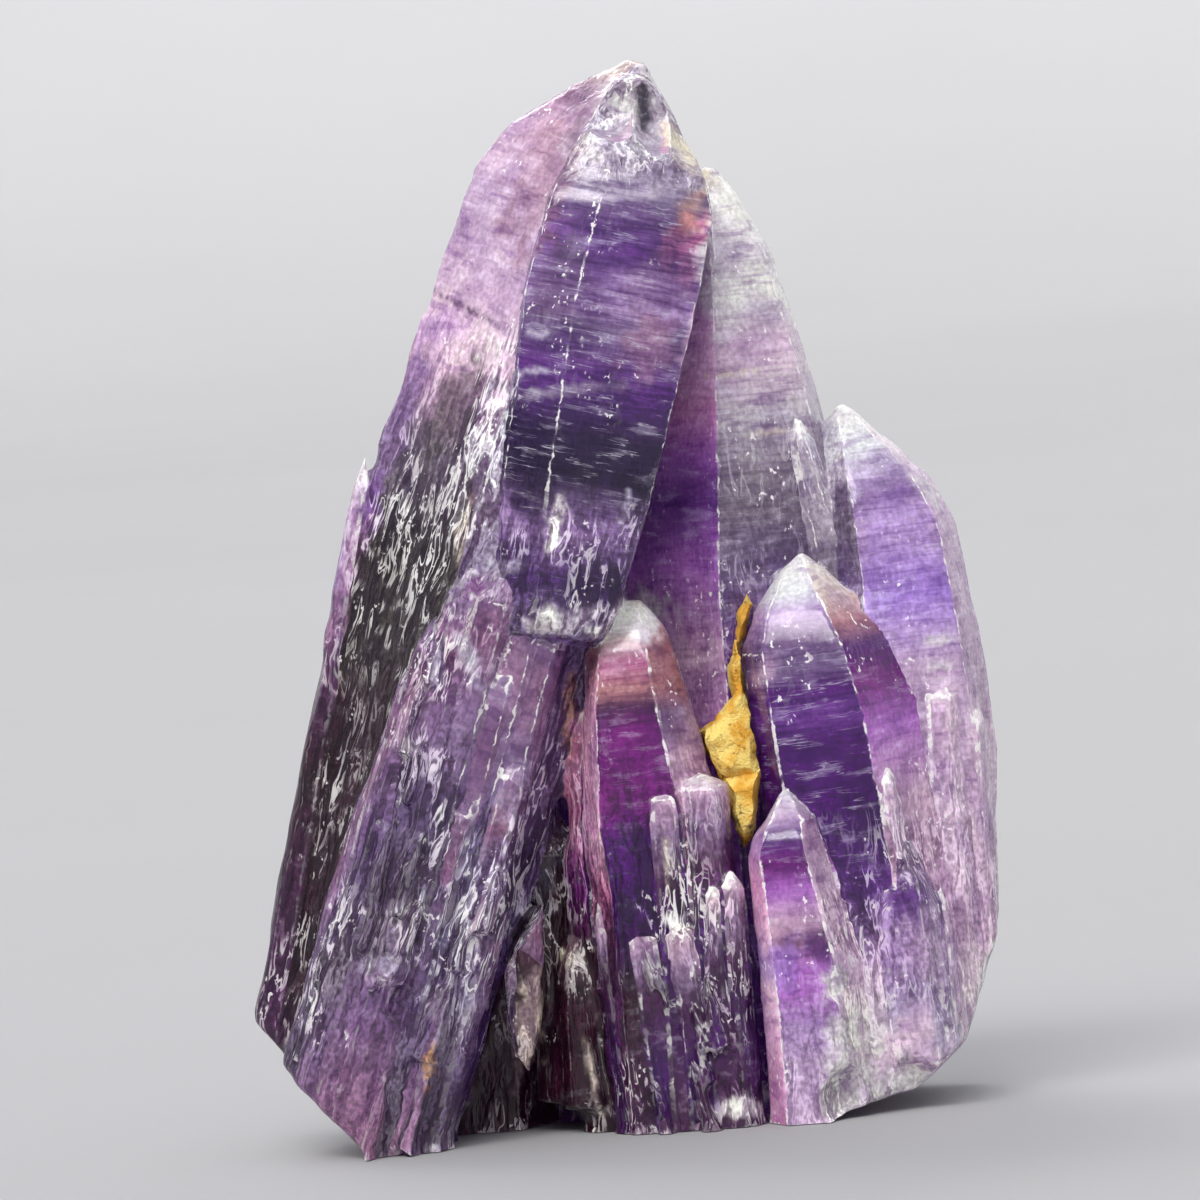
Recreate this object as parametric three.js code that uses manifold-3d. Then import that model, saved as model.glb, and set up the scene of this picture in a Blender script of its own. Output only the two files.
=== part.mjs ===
// A cluster of amethyst crystals that stands on its broken base, with a rusty crust in a groove of its front.
// Millimetres, +Z up. The front faces -Y. The origin is on the base plane, under the middle of the cluster.
import * as THREE from "three";
import { ConvexGeometry } from "three/addons/geometries/ConvexGeometry.js";
import { mergeVertices } from "three/addons/utils/BufferGeometryUtils.js";
import Module from "manifold-3d";

const wasm = await Module();
wasm.setup();

// Driving dimensions
const HEIGHT = 59.2; // the great crystal's tip above the base plane
const PLATE_BELOW_TIP = 0.8; // its broad front face starts this far below the tip
const MIDDLE_X = 0.8; // the middle of the cluster's box, in the frame that the crystals are drawn in
const MIDDLE_Y = 0.7;
const CRUST_GAP = 0.3; // between the crust and the crystals that it lies on
const SCAR_DETAIL = 2; // fineness of the lenses that chip the surface
const CUTTER = 120; // side of the blocks that break the base
const MERGE = 1e-4; // vertices closer than this are one vertex
const FRONT = -1;
const BACK = 1;

// Thin crystals: how far their tips stand out, their range of sizes, and their depth and shoulder as shares
const BLADE_STANDS = 0.3;
const BLADE_SMALLEST = 0.7;
const BLADE_LARGEST = 1.3;
const BLADE_DEEP = 1.4;
const BLADE_NARROW = 0.7;

// A plain crystal's tip width, as a share of its foot, and how far down from its cap its waist is
const POINT_SHARE = 0.08;
const WAIST = 0.45;

// Random numbers that are the same at each run
const SEED_STEP = 7919;
const SEED_FACTOR = 16807;
const SEED_LIMIT = 2147483647;

const AMETHYST = new THREE.MeshStandardMaterial({ color: 0x6b4590, roughness: 0.18, metalness: 0 });
const IRON_OXIDE = new THREE.MeshStandardMaterial({ color: 0xd9961f, roughness: 0.85, metalness: 0 });

// Cross-sections, as [across, through] shares of the half-width and half-depth. The front is negative.
const EVEN_SECTION = [[-1, -0.3], [-0.7, -0.85], [0.4, -1], [1, -0.1], [0.6, 0.9], [-0.6, 0.85]];
const GREAT_SECTION = [[-1, 0.1], [-0.2, -0.9], [0.5, -0.9], [1, -0.4], [0.92, 0.3], [0.4, 1], [-0.5, 0.85]];
const PLATE_SECTION = [[-1, -0.7], [-0.4, -1], [1, -0.68], [0.9, 1], [-1, 1]];
const TALL_SECTION = [[-1, 0.1], [-0.2, -1], [0.85, -0.72], [1, 0.2], [0.4, 1], [-0.5, 0.95]];
const SHOULDER_SECTION = [[-1, 0], [-0.26, -1], [0.75, -0.72], [1, 0.1], [0.5, 1], [-0.5, 1]];
const PALE_SECTION = [[-1, -0.2], [-0.73, -0.85], [0.33, -1], [1, -0.1], [0.6, 0.9], [-0.6, 0.9]];
const BROWN_SECTION = [[-1, 0], [-0.77, -0.8], [0.37, -1], [1, -0.25], [0.6, 0.9], [-0.6, 0.9]];
const BRIGHT_SECTION = [[-1, -0.1], [-0.7, -0.8], [0.48, -1], [1, -0.1], [0.6, 0.9], [-0.6, 0.9]];

// Measured crystals. A station is [drop below the tip, left, right, front, back], the last four off the axis.
const GREAT = {
  tip: [5.4, -1.5, HEIGHT],
  foot: [-17, 0, -2.4],
  section: GREAT_SECTION,
  stations: [
    [0, -0.6, 0.7, -0.6, 0.6],
    [2.6, -3.6, 2.9, -2.6, 2.8],
    [5, -5.9, 5.2, -4.4, 4.8],
    [8, -7.3, 6.5, -5.7, 6.2],
    [14, -7.8, 6.8, -6.5, 7],
    [24, -8.7, 7.1, -7, 7.4],
    [34, -8.5, 6.4, -7.2, 7.6],
    [66, -6.3, 5.8, -7, 7.4],
  ],
};
// The broad front face of the great crystal, which narrows downwards.
const FRONT_PLATE = {
  tip: [5.2, -3.2, HEIGHT - PLATE_BELOW_TIP],
  foot: [-4.6, -2.8, 24],
  section: PLATE_SECTION,
  stations: [
    [0, -0.8, 0.9, -0.4, 1],
    [3.9, -2.3, 4.7, -2.4, 1],
    [7, -3.3, 5.8, -4, 1],
    [12.6, -3.8, 5.8, -5.2, 1],
    [23, -3, 5.4, -5.8, 1],
    [29, -2, 5, -6, 1],
    [31.5, -1.8, 4, -6, 1],
  ],
};
const TALL_BEHIND = {
  tip: [8.9, 2.2, 52.9],
  foot: [9.3, 2.6, -1],
  section: TALL_SECTION,
  stations: [
    [0, -0.4, 0.4, -0.4, 0.4],
    [1.5, -1.4, 1.4, -1.5, 1.5],
    [5.2, -2.8, 3.2, -3, 3.2],
    [10, -3.9, 4.2, -4, 4.4],
    [15, -5.3, 5.4, -4.9, 5.3],
    [23, -7.1, 6.4, -5.6, 6],
    [54, -8, 6.6, -6, 6.4],
  ],
};
const SHOULDER = {
  tip: [15.1, 0.6, 39.1],
  foot: [16.2, 0.4, -1],
  section: SHOULDER_SECTION,
  stations: [
    [0, -0.3, 0.3, -0.3, 0.3],
    [0.9, -1.1, 1.1, -1.2, 1.2],
    [3.2, -2.4, 3.4, -2.9, 2.8],
    [4.6, -3, 4.6, -3.6, 3.5],
    [7.2, -3.6, 5.8, -4.5, 4.4],
    [14, -4, 6.5, -5.2, 5],
    [20, -4.2, 6.7, -5.4, 5.2],
    [29, -4.2, 5.8, -5.4, 5.2],
    [40, -4.2, 4.2, -5.2, 5],
  ],
};
const PALE_CAPPED = {
  tip: [12.1, -3.4, 31.2],
  foot: [13.9, -3.4, -1],
  section: PALE_SECTION,
  stations: [
    [0, -0.2, 0.2, -0.2, 0.2],
    [1.4, -1.9, 1.3, -1.6, 1.5],
    [3.2, -3.3, 3, -3, 2.8],
    [5.2, -4.2, 4.3, -3.8, 3.6],
    [9, -4.3, 5.3, -4.4, 4.2],
    [20, -4.2, 5.9, -4.8, 4.6],
    [32, -4.4, 5.2, -4.8, 4.6],
  ],
};
const BROWN_CAPPED = {
  tip: [2.5, -4.4, 29.4],
  foot: [3, -4.6, -1],
  section: BROWN_SECTION,
  stations: [
    [0, -0.6, 0.5, -0.4, 0.5],
    [0.7, -1.4, 1.1, -1.3, 1.3],
    [1.5, -2.1, 1.7, -2, 2],
    [2.8, -2.8, 2.1, -2.6, 2.6],
    [5.2, -3.3, 2.5, -3, 3],
    [9, -3.8, 3.4, -3.4, 3.5],
    [12, -4.1, 4, -3.6, 3.8],
    [30, -3.9, 4.2, -4, 4],
  ],
};
const BRIGHT_SMALL = {
  tip: [10, -7.6, 18.4],
  foot: [10.6, -7.2, -1],
  section: BRIGHT_SECTION,
  stations: [
    [0, -0.15, 0.15, -0.15, 0.15],
    [1, -0.8, 0.9, -0.9, 0.9],
    [1.7, -1.4, 1.5, -1.6, 1.6],
    [2.4, -2.1, 1.65, -2.1, 2],
    [3.4, -2.5, 1.8, -2.4, 2.4],
    [9.8, -2.7, 3.2, -3.2, 3.2],
    [19, -3, 3.3, -3.5, 3.4],
  ],
};
const RIMMED_LOW = {
  tip: [15.7, -6.4, 16],
  foot: [16.2, -5.6, 0],
  section: EVEN_SECTION,
  stations: [
    [0, -0.25, 0.3, -0.3, 0.3],
    [0.9, -0.7, 0.7, -1, 1],
    [2.6, -1, 1.9, -1.8, 1.9],
    [3.8, -1.3, 2.2, -2.3, 2.3],
    [7, -1.9, 2.5, -2.7, 2.8],
    [16, -2.2, 2.7, -3, 3],
  ],
};
const MEASURED_RIGHT = [TALL_BEHIND, SHOULDER, PALE_CAPPED, BROWN_CAPPED, BRIGHT_SMALL, RIMMED_LOW];

// Plain crystals: tip, foot, the foot's width and depth, the length of the pointed cap, and how wide the
// shoulder under the cap is, as a share of the foot.
const PLAIN_LEFT = [
  // on its left side
  { tip: [-11.6, 0.6, 38.5], foot: [-20, 0.6, 6], wide: 2.4, deep: 5, cap: 1.8, narrow: 0.5 },
  { tip: [-16.4, 3.6, 16], foot: [-17.6, 3, 1], wide: 4.6, deep: 6, cap: 2.6, narrow: 0.7 },
  // on its back
  { tip: [-3.6, 4.6, 47.5], foot: [-12.6, 4.6, -1], wide: 12.5, deep: 9.5, cap: 6, narrow: 0.72 },
  { tip: [-9, 7.6, 27], foot: [-13, 7.2, -1], wide: 7.6, deep: 7.4, cap: 4, narrow: 0.7 },
  { tip: [-2.4, 9.4, 17.4], foot: [-5.4, 7.4, -1], wide: 6.4, deep: 5.6, cap: 3, narrow: 0.7 },
];
const PLAIN_RIGHT = [
  // beside and below the brown-capped crystal
  { tip: [-1, -2.4, 26.2], foot: [-0.9, -2.6, -1], wide: 3.8, deep: 5, cap: 3, narrow: 0.62 },
  { tip: [5.6, -6.9, 19.7], foot: [5.6, -6.5, -1], wide: 4, deep: 4.8, cap: 0.7, narrow: 0.72 },
  { tip: [3.4, -6.8, 19.2], foot: [3.6, -6.3, -1], wide: 3.6, deep: 4.6, cap: 0.7, narrow: 0.62 },
  { tip: [6.7, -8.2, 14.2], foot: [6.4, -7, -1], wide: 2.4, deep: 3.2, cap: 0.8, narrow: 0.6 },
  { tip: [5.6, -8.3, 13.8], foot: [5.2, -7.4, 2], wide: 2, deep: 2.4, cap: 0.8, narrow: 0.6 },
  { tip: [1.4, -7, 12.4], foot: [3, -6.4, -1], wide: 4.4, deep: 4, cap: 1.6, narrow: 0.5 },
  { tip: [-0.6, -5.6, 13.4], foot: [1, -5.2, -1], wide: 4, deep: 4.4, cap: 2, narrow: 0.5 },
  { tip: [3.6, -8, 11.8], foot: [4.4, -7, -1], wide: 3, deep: 3.2, cap: 0.8, narrow: 0.6 },
  // the dark ones in the gap beside the great crystal
  { tip: [-2.8, -0.6, 18.4], foot: [-3, -0.8, 1.5], wide: 5, deep: 6, cap: 3, narrow: 0.7 },
  { tip: [-2.4, -3.4, 11], foot: [-2.2, -3.4, 1.2], wide: 3.4, deep: 4.4, cap: 2, narrow: 0.6 },
  { tip: [-5.4, 4.4, 31], foot: [-8, 4.6, -1], wide: 8.5, deep: 9, cap: 4, narrow: 0.7 },
  // on the front of the tall crystal
  { tip: [12.6, -1.5, 38.5], foot: [14.2, -1.4, 28], wide: 2.8, deep: 3, cap: 1.4, narrow: 0.5 },
  // the right rim
  { tip: [19.2, -2.8, 23.5], foot: [19, -2.6, 1], wide: 3.8, deep: 5, cap: 1, narrow: 0.6 },
  { tip: [20.9, -1.8, 22.1], foot: [20.4, -1.8, 3], wide: 2.6, deep: 5, cap: 1.1, narrow: 0.6 },
  { tip: [15.8, -7.2, 19], foot: [16.2, -6.2, 8], wide: 1.3, deep: 2.4, cap: 0.7, narrow: 0.7 },
  { tip: [18.2, -5.8, 12.2], foot: [17.8, -5, 0], wide: 2.6, deep: 3.4, cap: 1.6, narrow: 0.5 },
  // the back
  { tip: [2.6, 6, 40], foot: [0.6, 6.2, -1], wide: 11.5, deep: 9.4, cap: 5.5, narrow: 0.72 },
  { tip: [12.4, 6.2, 32.6], foot: [11.8, 6.2, -1], wide: 10.5, deep: 8.6, cap: 5, narrow: 0.74 },
  { tip: [6.8, 9, 22], foot: [6.4, 8, -1], wide: 6.2, deep: 5.8, cap: 3, narrow: 0.72 },
  { tip: [17.6, 4.4, 25], foot: [16.6, 4.4, -1], wide: 6, deep: 6, cap: 3.4, narrow: 0.7 },
];

// Flutes: long parallel crystals that cover the lower front of the great one, down to the base. Each is
// [x, y, z] of the tip and the width.
const FLUTES = [
  [-3.9, -6.9, 33, 4.4], [-6, -7, 32.2, 2.8], [-2.6, -6.9, 30.6, 3.4], [-7.8, -6.5, 30, 3.2],
  [-1.6, -6.6, 29.7, 3.4], [-9.2, -6.1, 27.6, 3], [-6.6, -7.3, 28.4, 1.9], [-4.4, -7.5, 27, 2.4],
  [-10.6, -5.7, 24.6, 2.8], [-9, -6.9, 23, 2.4], [-3.9, -7.1, 22.2, 3.2], [-12.4, -5.1, 21.2, 2.6],
  [-7, -7.4, 20.6, 3], [-5.2, -7.3, 16.8, 2.8], [-13.8, -4.9, 16.4, 2.6], [-10.4, -7, 16.6, 2.8],
];
const FLUTE_DROP = 1.3; // how far the flutes sink back from tip to foot
const FLUTE_DEEP = 1.2; // their depth, cap and shoulder, as shares of the width
const FLUTE_CAP = 0.7;
const FLUTE_NARROW = 0.74;

// Rows of thin crystals on a front or a back: the tips' lowest and highest place as [x, z], how far they
// spread aside, the way they point, how many, and their size.
const BLADES_LEFT = [
  {
    side: FRONT, low: [-14.2, 4.5], high: [-7, 18], spread: 6.4, lean: [0.36, -0.03, 0.93], count: 13,
    size: [1.3, 4.6],
  },
  {
    side: FRONT, low: [-15.2, 13], high: [-9.2, 27], spread: 3.2, lean: [0.34, 0, 0.94], count: 5,
    size: [1.1, 4.2],
  },
  {
    side: BACK, low: [-14, 6], high: [-7, 24], spread: 6, lean: [0.24, 0, 0.97], count: 6,
    size: [1.6, 5.4],
  },
];
const BLADES_RIGHT = [
  {
    side: FRONT, low: [0.4, 3], high: [3.8, 11], spread: 5.6, lean: [-0.2, 0, 0.98], count: 8,
    size: [1, 3.4],
  },
  {
    side: FRONT, low: [16, 4], high: [16.8, 10], spread: 4, lean: [0.02, 0, 1], count: 3,
    size: [1, 3.2],
  },
  {
    side: BACK, low: [6, 4], high: [6, 18], spread: 12, lean: [0, 0, 1], count: 7,
    size: [1.5, 5],
  },
];

// A splinter between the great crystal and the dark ones, as the hull of its corners.
const SPLINTER = [
  [-6.5, -5.6, 9.8], [-5.6, -6, 10.8], [-3.7, -5, 13.4], [-3.9, -5.4, 9.4], [-4.7, -5, 5], [-5.4, -4.6, 3.1],
  [-6.3, -4.8, 4.2], [-6.8, -4.6, 6.4], [-5, -1.4, 13], [-4.2, -1.4, 8], [-6, -1.6, 8],
];

// Flat breaks: a point of the break, and the side that is gone.
const BASE = { at: [0, 0, 0], away: [0, 0, -1] };
const LEFT_BREAKS = [
  { at: [-10, 0, 0.2], away: [0.86, 0.1, -0.5] },
  { at: [-20.4, 0, 7], away: [-0.72, 0.1, -0.7] },
];
const RIGHT_BREAKS = [
  { at: [9.6, 0, 0.3], away: [0.17, 0.05, -0.98] },
  { at: [18.6, 0, 2.4], away: [0.66, -0.1, -0.75] },
  { at: [20.6, 0, 7.2], away: [0.93, 0, -0.36] },
];

// Shell-shaped scars: the middle and the half-sizes of the lens that was broken out.
const SCARS = [
  { at: [3.9, -6.1, 56.9], half: [2.4, 2.6, 2.2] },
  { at: [6.2, -5.4, 56.4], half: [1.5, 2.6, 2.6] },
  { at: [8.8, -5.2, 55.4], half: [2.2, 3.6, 2.8] },
  { at: [19.8, -6, 34.4], half: [1.6, 2.6, 1.2] },
  { at: [12.1, -11.4, 7.4], half: [0.9, 1.2, 1.1] },
  { at: [-2.2, -10.9, 28.6], half: [2.3, 2.4, 1.6] },
  { at: [-13.6, -9.4, 10.6], half: [2, 1.6, 1.2] },
  { at: [6.4, -10.6, 0.6], half: [1.9, 1.6, 1.5] },
  { at: [12.6, -11.2, 1.2], half: [2.2, 2.6, 2] },
  { at: [15.8, -10.4, 1.2], half: [2.4, 3, 2.2] },
  { at: [-5.4, 12.4, 30], half: [3, 3, 4] },
  { at: [-8, 13, 3], half: [4, 3, 3.4] },
  { at: [14, 12.2, 4], half: [4.4, 3, 4] },
];

// Scales of the crust from the bottom of the groove up: the outline as [x, z], and how deep its face and back
// lie.
const CRUST_SCALES = [
  {
    outline: [[7.5, 15.2], [6.9, 17.4], [6.7, 19], [8.7, 19.4], [8.5, 17.6], [8, 15.8]],
    face: -6.6,
    back: -2,
  },
  {
    outline: [[6.6, 19], [5.9, 20.4], [5.6, 21.6], [7.4, 22.8], [9, 21.6], [8.9, 18.8]],
    face: -6.2,
    back: -1.6,
  },
  { outline: [[6.2, 21.4], [6.6, 22.4], [8.2, 24.2], [8.9, 22.6], [8.8, 20.8]], face: -5.7, back: -1.6 },
  { outline: [[7.6, 23], [7.5, 25], [8, 26.6], [8.7, 26.4], [8.9, 23]], face: -4.9, back: -1 },
  { outline: [[8, 25.8], [8.4, 28.2], [8.9, 29.1], [9.3, 28.3], [8.9, 26]], face: -4.3, back: -0.6 },
];
const SCALE_FACE_SHARE = 0.6; // size of a scale's face, as a share of its outline
const SCALE_BEVEL = 0.8; // how far the outline lies behind the face

// A closed geometry as a solid that can be joined and cut.
function solidOf(geometry) {
  const bare = new THREE.BufferGeometry();
  bare.setAttribute("position", geometry.getAttribute("position"));
  bare.setIndex(geometry.index);
  const merged = mergeVertices(bare, MERGE);
  const mesh = new wasm.Mesh({
    numProp: 3,
    vertProperties: merged.attributes.position.array,
    triVerts: new Uint32Array(merged.index.array),
  });
  return new wasm.Manifold(mesh);
}

function geometryOf(solid) {
  const mesh = solid.getMesh();
  const geometry = new THREE.BufferGeometry();
  geometry.setAttribute("position", new THREE.BufferAttribute(mesh.vertProperties, mesh.numProp));
  geometry.setIndex(new THREE.BufferAttribute(mesh.triVerts, 1));
  return geometry;
}

// The geometry with its largest closed surface alone, which fills small pockets sealed between crystals.
function withoutPockets(geometry) {
  const corners = geometry.index.array;
  const leader = Array.from({ length: geometry.getAttribute("position").count }, (_, i) => i);
  const leaderOf = (i) => {
    while (leader[i] !== i) i = leader[i];
    return i;
  };
  const sizes = new Map();
  for (let i = 0; i < corners.length; i += 3) {
    leader[leaderOf(corners[i])] = leaderOf(corners[i + 1]);
    leader[leaderOf(corners[i + 1])] = leaderOf(corners[i + 2]);
  }
  for (const corner of corners) sizes.set(leaderOf(corner), (sizes.get(leaderOf(corner)) ?? 0) + 1);
  const [largest] = [...sizes].reduce((best, one) => (one[1] > best[1] ? one : best));
  geometry.setIndex(Array.from(corners).filter((corner) => leaderOf(corner) === largest));
  return geometry;
}

function hull(points) {
  return solidOf(new ConvexGeometry(points));
}

function join(solids) {
  return solids.reduce((whole, solid) => whole.add(solid));
}

function cut(solid, cutters) {
  return cutters.reduce((whole, cutter) => whole.subtract(cutter), solid);
}

// The hull of the stations, each a section square to the crystal's axis. Growth is added on every side.
function measuredCrystal({ tip, foot, section, stations }, growth = 0) {
  const up = new THREE.Vector3(...tip).sub(new THREE.Vector3(...foot)).normalize();
  const across = new THREE.Vector3(0, 1, 0).cross(up).normalize();
  const through = up.clone().cross(across);
  const top = new THREE.Vector3(...tip).addScaledVector(up, growth);
  const points = stations.flatMap(([drop, left, right, front, back]) =>
    section.map(([a, t]) =>
      top
        .clone()
        .addScaledVector(up, -drop)
        .addScaledVector(across, (left + right) / 2 + a * ((right - left) / 2 + growth))
        .addScaledVector(through, (front + back) / 2 + t * ((back - front) / 2 + growth)),
    ),
  );
  return hull(points);
}

// An even-sided crystal: its point, the shoulder under the cap, its waist and its foot.
function plainCrystal({ tip, foot, wide, deep, cap, narrow }, growth = 0) {
  const length = new THREE.Vector3(...tip).distanceTo(new THREE.Vector3(...foot));
  const station = (drop, share) =>
    [drop, (-wide / 2) * share, (wide / 2) * share, (-deep / 2) * share, (deep / 2) * share];
  const stations = [
    station(0, POINT_SHARE),
    station(cap, narrow),
    station(cap + (length - cap) * WAIST, (narrow + 1) / 2),
    station(length, 1),
  ];
  return measuredCrystal({ tip, foot, section: EVEN_SECTION, stations }, growth);
}

// A block that covers the side of a break that is gone.
function breakBlock({ at, away }) {
  const direction = new THREE.Vector3(...away).normalize();
  const block = new THREE.BoxGeometry(CUTTER, CUTTER, CUTTER);
  block.applyQuaternion(new THREE.Quaternion().setFromUnitVectors(new THREE.Vector3(0, 0, 1), direction));
  block.translate(...new THREE.Vector3(...at).addScaledVector(direction, CUTTER / 2));
  return solidOf(block);
}

function lens({ at, half }) {
  return solidOf(new THREE.IcosahedronGeometry(1, SCAR_DETAIL).scale(...half).translate(...at));
}

function flute([x, y, z, wide]) {
  const { tip, foot } = GREAT;
  const share = (z - foot[2]) / (tip[2] - foot[2]);
  const low = [x - (tip[0] - foot[0]) * share, y + FLUTE_DROP, foot[2]];
  const shape = { wide, deep: wide * FLUTE_DEEP, cap: wide * FLUTE_CAP, narrow: FLUTE_NARROW };
  return plainCrystal({ tip: [x, y, z], foot: low, ...shape });
}

// A scale of the crust: its outline at the back and behind the bevel, and a smaller one at its face.
function scale({ outline, face, back }) {
  const middle = [0, 1].map((i) => outline.reduce((sum, point) => sum + point[i], 0) / outline.length);
  const shrink = (value, i) => middle[i] + (value - middle[i]) * SCALE_FACE_SHARE;
  const points = outline.flatMap(([x, z]) => [
    new THREE.Vector3(x, back, z),
    new THREE.Vector3(x, face + SCALE_BEVEL, z),
    new THREE.Vector3(shrink(x, 0), face, shrink(z, 1)),
  ]);
  return hull(points);
}

function seeded(seed) {
  let state = seed * SEED_STEP;
  return () => {
    state = (state * SEED_FACTOR) % SEED_LIMIT;
    return state / SEED_LIMIT;
  };
}

// The depth of a solid's surface at x and z, seen from its front or its back.
function depthFinder(solid, side) {
  const mesh = new THREE.Mesh(geometryOf(solid));
  const towards = new THREE.Vector3(0, -side, 0);
  return (x, z) => {
    const eye = new THREE.Vector3(x, side * CUTTER, z);
    const [first] = new THREE.Raycaster(eye, towards).intersectObject(mesh);
    return first?.point.y;
  };
}

// Thin crystals from the row's lowest place to its highest, spread aside and varied in size.
function blades({ side, low, high, spread, lean, count, size: [wide, long] }, row, solid) {
  const random = seeded(row + 1);
  const depthAt = depthFinder(solid, side);
  const way = new THREE.Vector3(...lean).normalize();
  return Array.from({ length: count }, (_, k) => {
    const rise = (k + random()) / count;
    const aside = (random() - 0.5) * spread;
    const scaled = BLADE_SMALLEST + (BLADE_LARGEST - BLADE_SMALLEST) * random();
    const x = low[0] + (high[0] - low[0]) * rise + aside;
    const z = low[1] + (high[1] - low[1]) * rise;
    const tip = new THREE.Vector3(x, depthAt(x, z) + side * BLADE_STANDS, z);
    const foot = tip.clone().addScaledVector(way, -long * scaled);
    const shape = { wide: wide * scaled, deep: wide * scaled * BLADE_DEEP, cap: wide, narrow: BLADE_NARROW };
    return plainCrystal({ tip: tip.toArray(), foot: foot.toArray(), ...shape });
  });
}

function withBlades(solid, rows) {
  return join([solid, ...rows.flatMap((one, row) => blades(one, row, solid))]);
}

// The great crystal with what grows on it.
function leftHalf() {
  const solid = join([
    measuredCrystal(GREAT),
    measuredCrystal(FRONT_PLATE),
    ...PLAIN_LEFT.map((one) => plainCrystal(one)),
    ...FLUTES.map(flute),
  ]);
  return cut(withBlades(solid, BLADES_LEFT), LEFT_BREAKS.map(breakBlock));
}

function rightHalf() {
  const solid = join([
    ...MEASURED_RIGHT.map((one) => measuredCrystal(one)),
    ...PLAIN_RIGHT.map((one) => plainCrystal(one)),
    hull(SPLINTER.map((corner) => new THREE.Vector3(...corner))),
  ]);
  return cut(withBlades(solid, BLADES_RIGHT), RIGHT_BREAKS.map(breakBlock));
}

function cluster() {
  return cut(leftHalf().add(rightHalf()), [breakBlock(BASE), ...SCARS.map(lens)]);
}

function crust() {
  const neighbours = [
    ...[GREAT, ...MEASURED_RIGHT].map((one) => measuredCrystal(one, CRUST_GAP)),
    ...PLAIN_RIGHT.map((one) => plainCrystal(one, CRUST_GAP)),
  ];
  return cut(join(CRUST_SCALES.map(scale)), neighbours);
}

function piece(name, solid, material) {
  const mesh = new THREE.Mesh(withoutPockets(geometryOf(solid)), material);
  mesh.name = name;
  mesh.position.set(-MIDDLE_X, -MIDDLE_Y, 0);
  return mesh;
}

const part = new THREE.Group();
part.add(piece("crystal_cluster", cluster(), AMETHYST));
part.add(piece("iron_oxide_crust", crust(), IRON_OXIDE));

export default part;
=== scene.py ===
"""A cluster of amethyst crystals with a rusty crust in a groove of its front.

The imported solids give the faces. This script makes them finer, etches and chips them, and colours each
crystal from its tip down. Lengths are in millimetres until the meshes are made, in the frame that the
crystals are drawn in: +Z up, the front faces -Y, and the cluster's middle is at MIDDLE.
"""
import math

import bmesh
import bpy
import numpy as np
from mathutils import Matrix, Vector
from mathutils.geometry import delaunay_2d_cdt, tessellate_polygon
from mathutils.kdtree import KDTree


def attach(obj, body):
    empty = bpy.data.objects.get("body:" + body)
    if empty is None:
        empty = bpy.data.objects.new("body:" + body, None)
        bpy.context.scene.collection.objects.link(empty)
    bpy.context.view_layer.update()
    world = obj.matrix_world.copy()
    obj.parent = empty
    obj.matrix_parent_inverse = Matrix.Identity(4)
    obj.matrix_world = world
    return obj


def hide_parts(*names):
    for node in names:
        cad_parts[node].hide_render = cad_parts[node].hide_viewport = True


MM = 0.001
MIDDLE = np.array([0.8, 0.7, 0.0])
TALL = 59.2

# Cross-sections as [across, through] shares of the half-width and half-depth
EVEN = [[-1, -0.3], [-0.7, -0.85], [0.4, -1], [1, -0.1], [0.6, 0.9], [-0.6, 0.85]]
GREAT = [[-1, 0.1], [-0.2, -0.9], [0.5, -0.9], [1, -0.4], [0.92, 0.3], [0.4, 1], [-0.5, 0.85]]
PLATE = [[-1, -0.7], [-0.4, -1], [1, -0.68], [0.9, 1], [-1, 1]]
RIDGED = [[-1, 0.1], [-0.2, -1], [0.85, -0.72], [1, 0.2], [0.4, 1], [-0.5, 0.95]]
SHOULDERED = [[-1, 0], [-0.26, -1], [0.75, -0.72], [1, 0.1], [0.5, 1], [-0.5, 1]]
PALE = [[-1, -0.2], [-0.73, -0.85], [0.33, -1], [1, -0.1], [0.6, 0.9], [-0.6, 0.9]]
BROWN = [[-1, 0], [-0.77, -0.8], [0.37, -1], [1, -0.25], [0.6, 0.9], [-0.6, 0.9]]
BRIGHT = [[-1, -0.1], [-0.7, -0.8], [0.48, -1], [1, -0.1], [0.6, 0.9], [-0.6, 0.9]]

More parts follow.
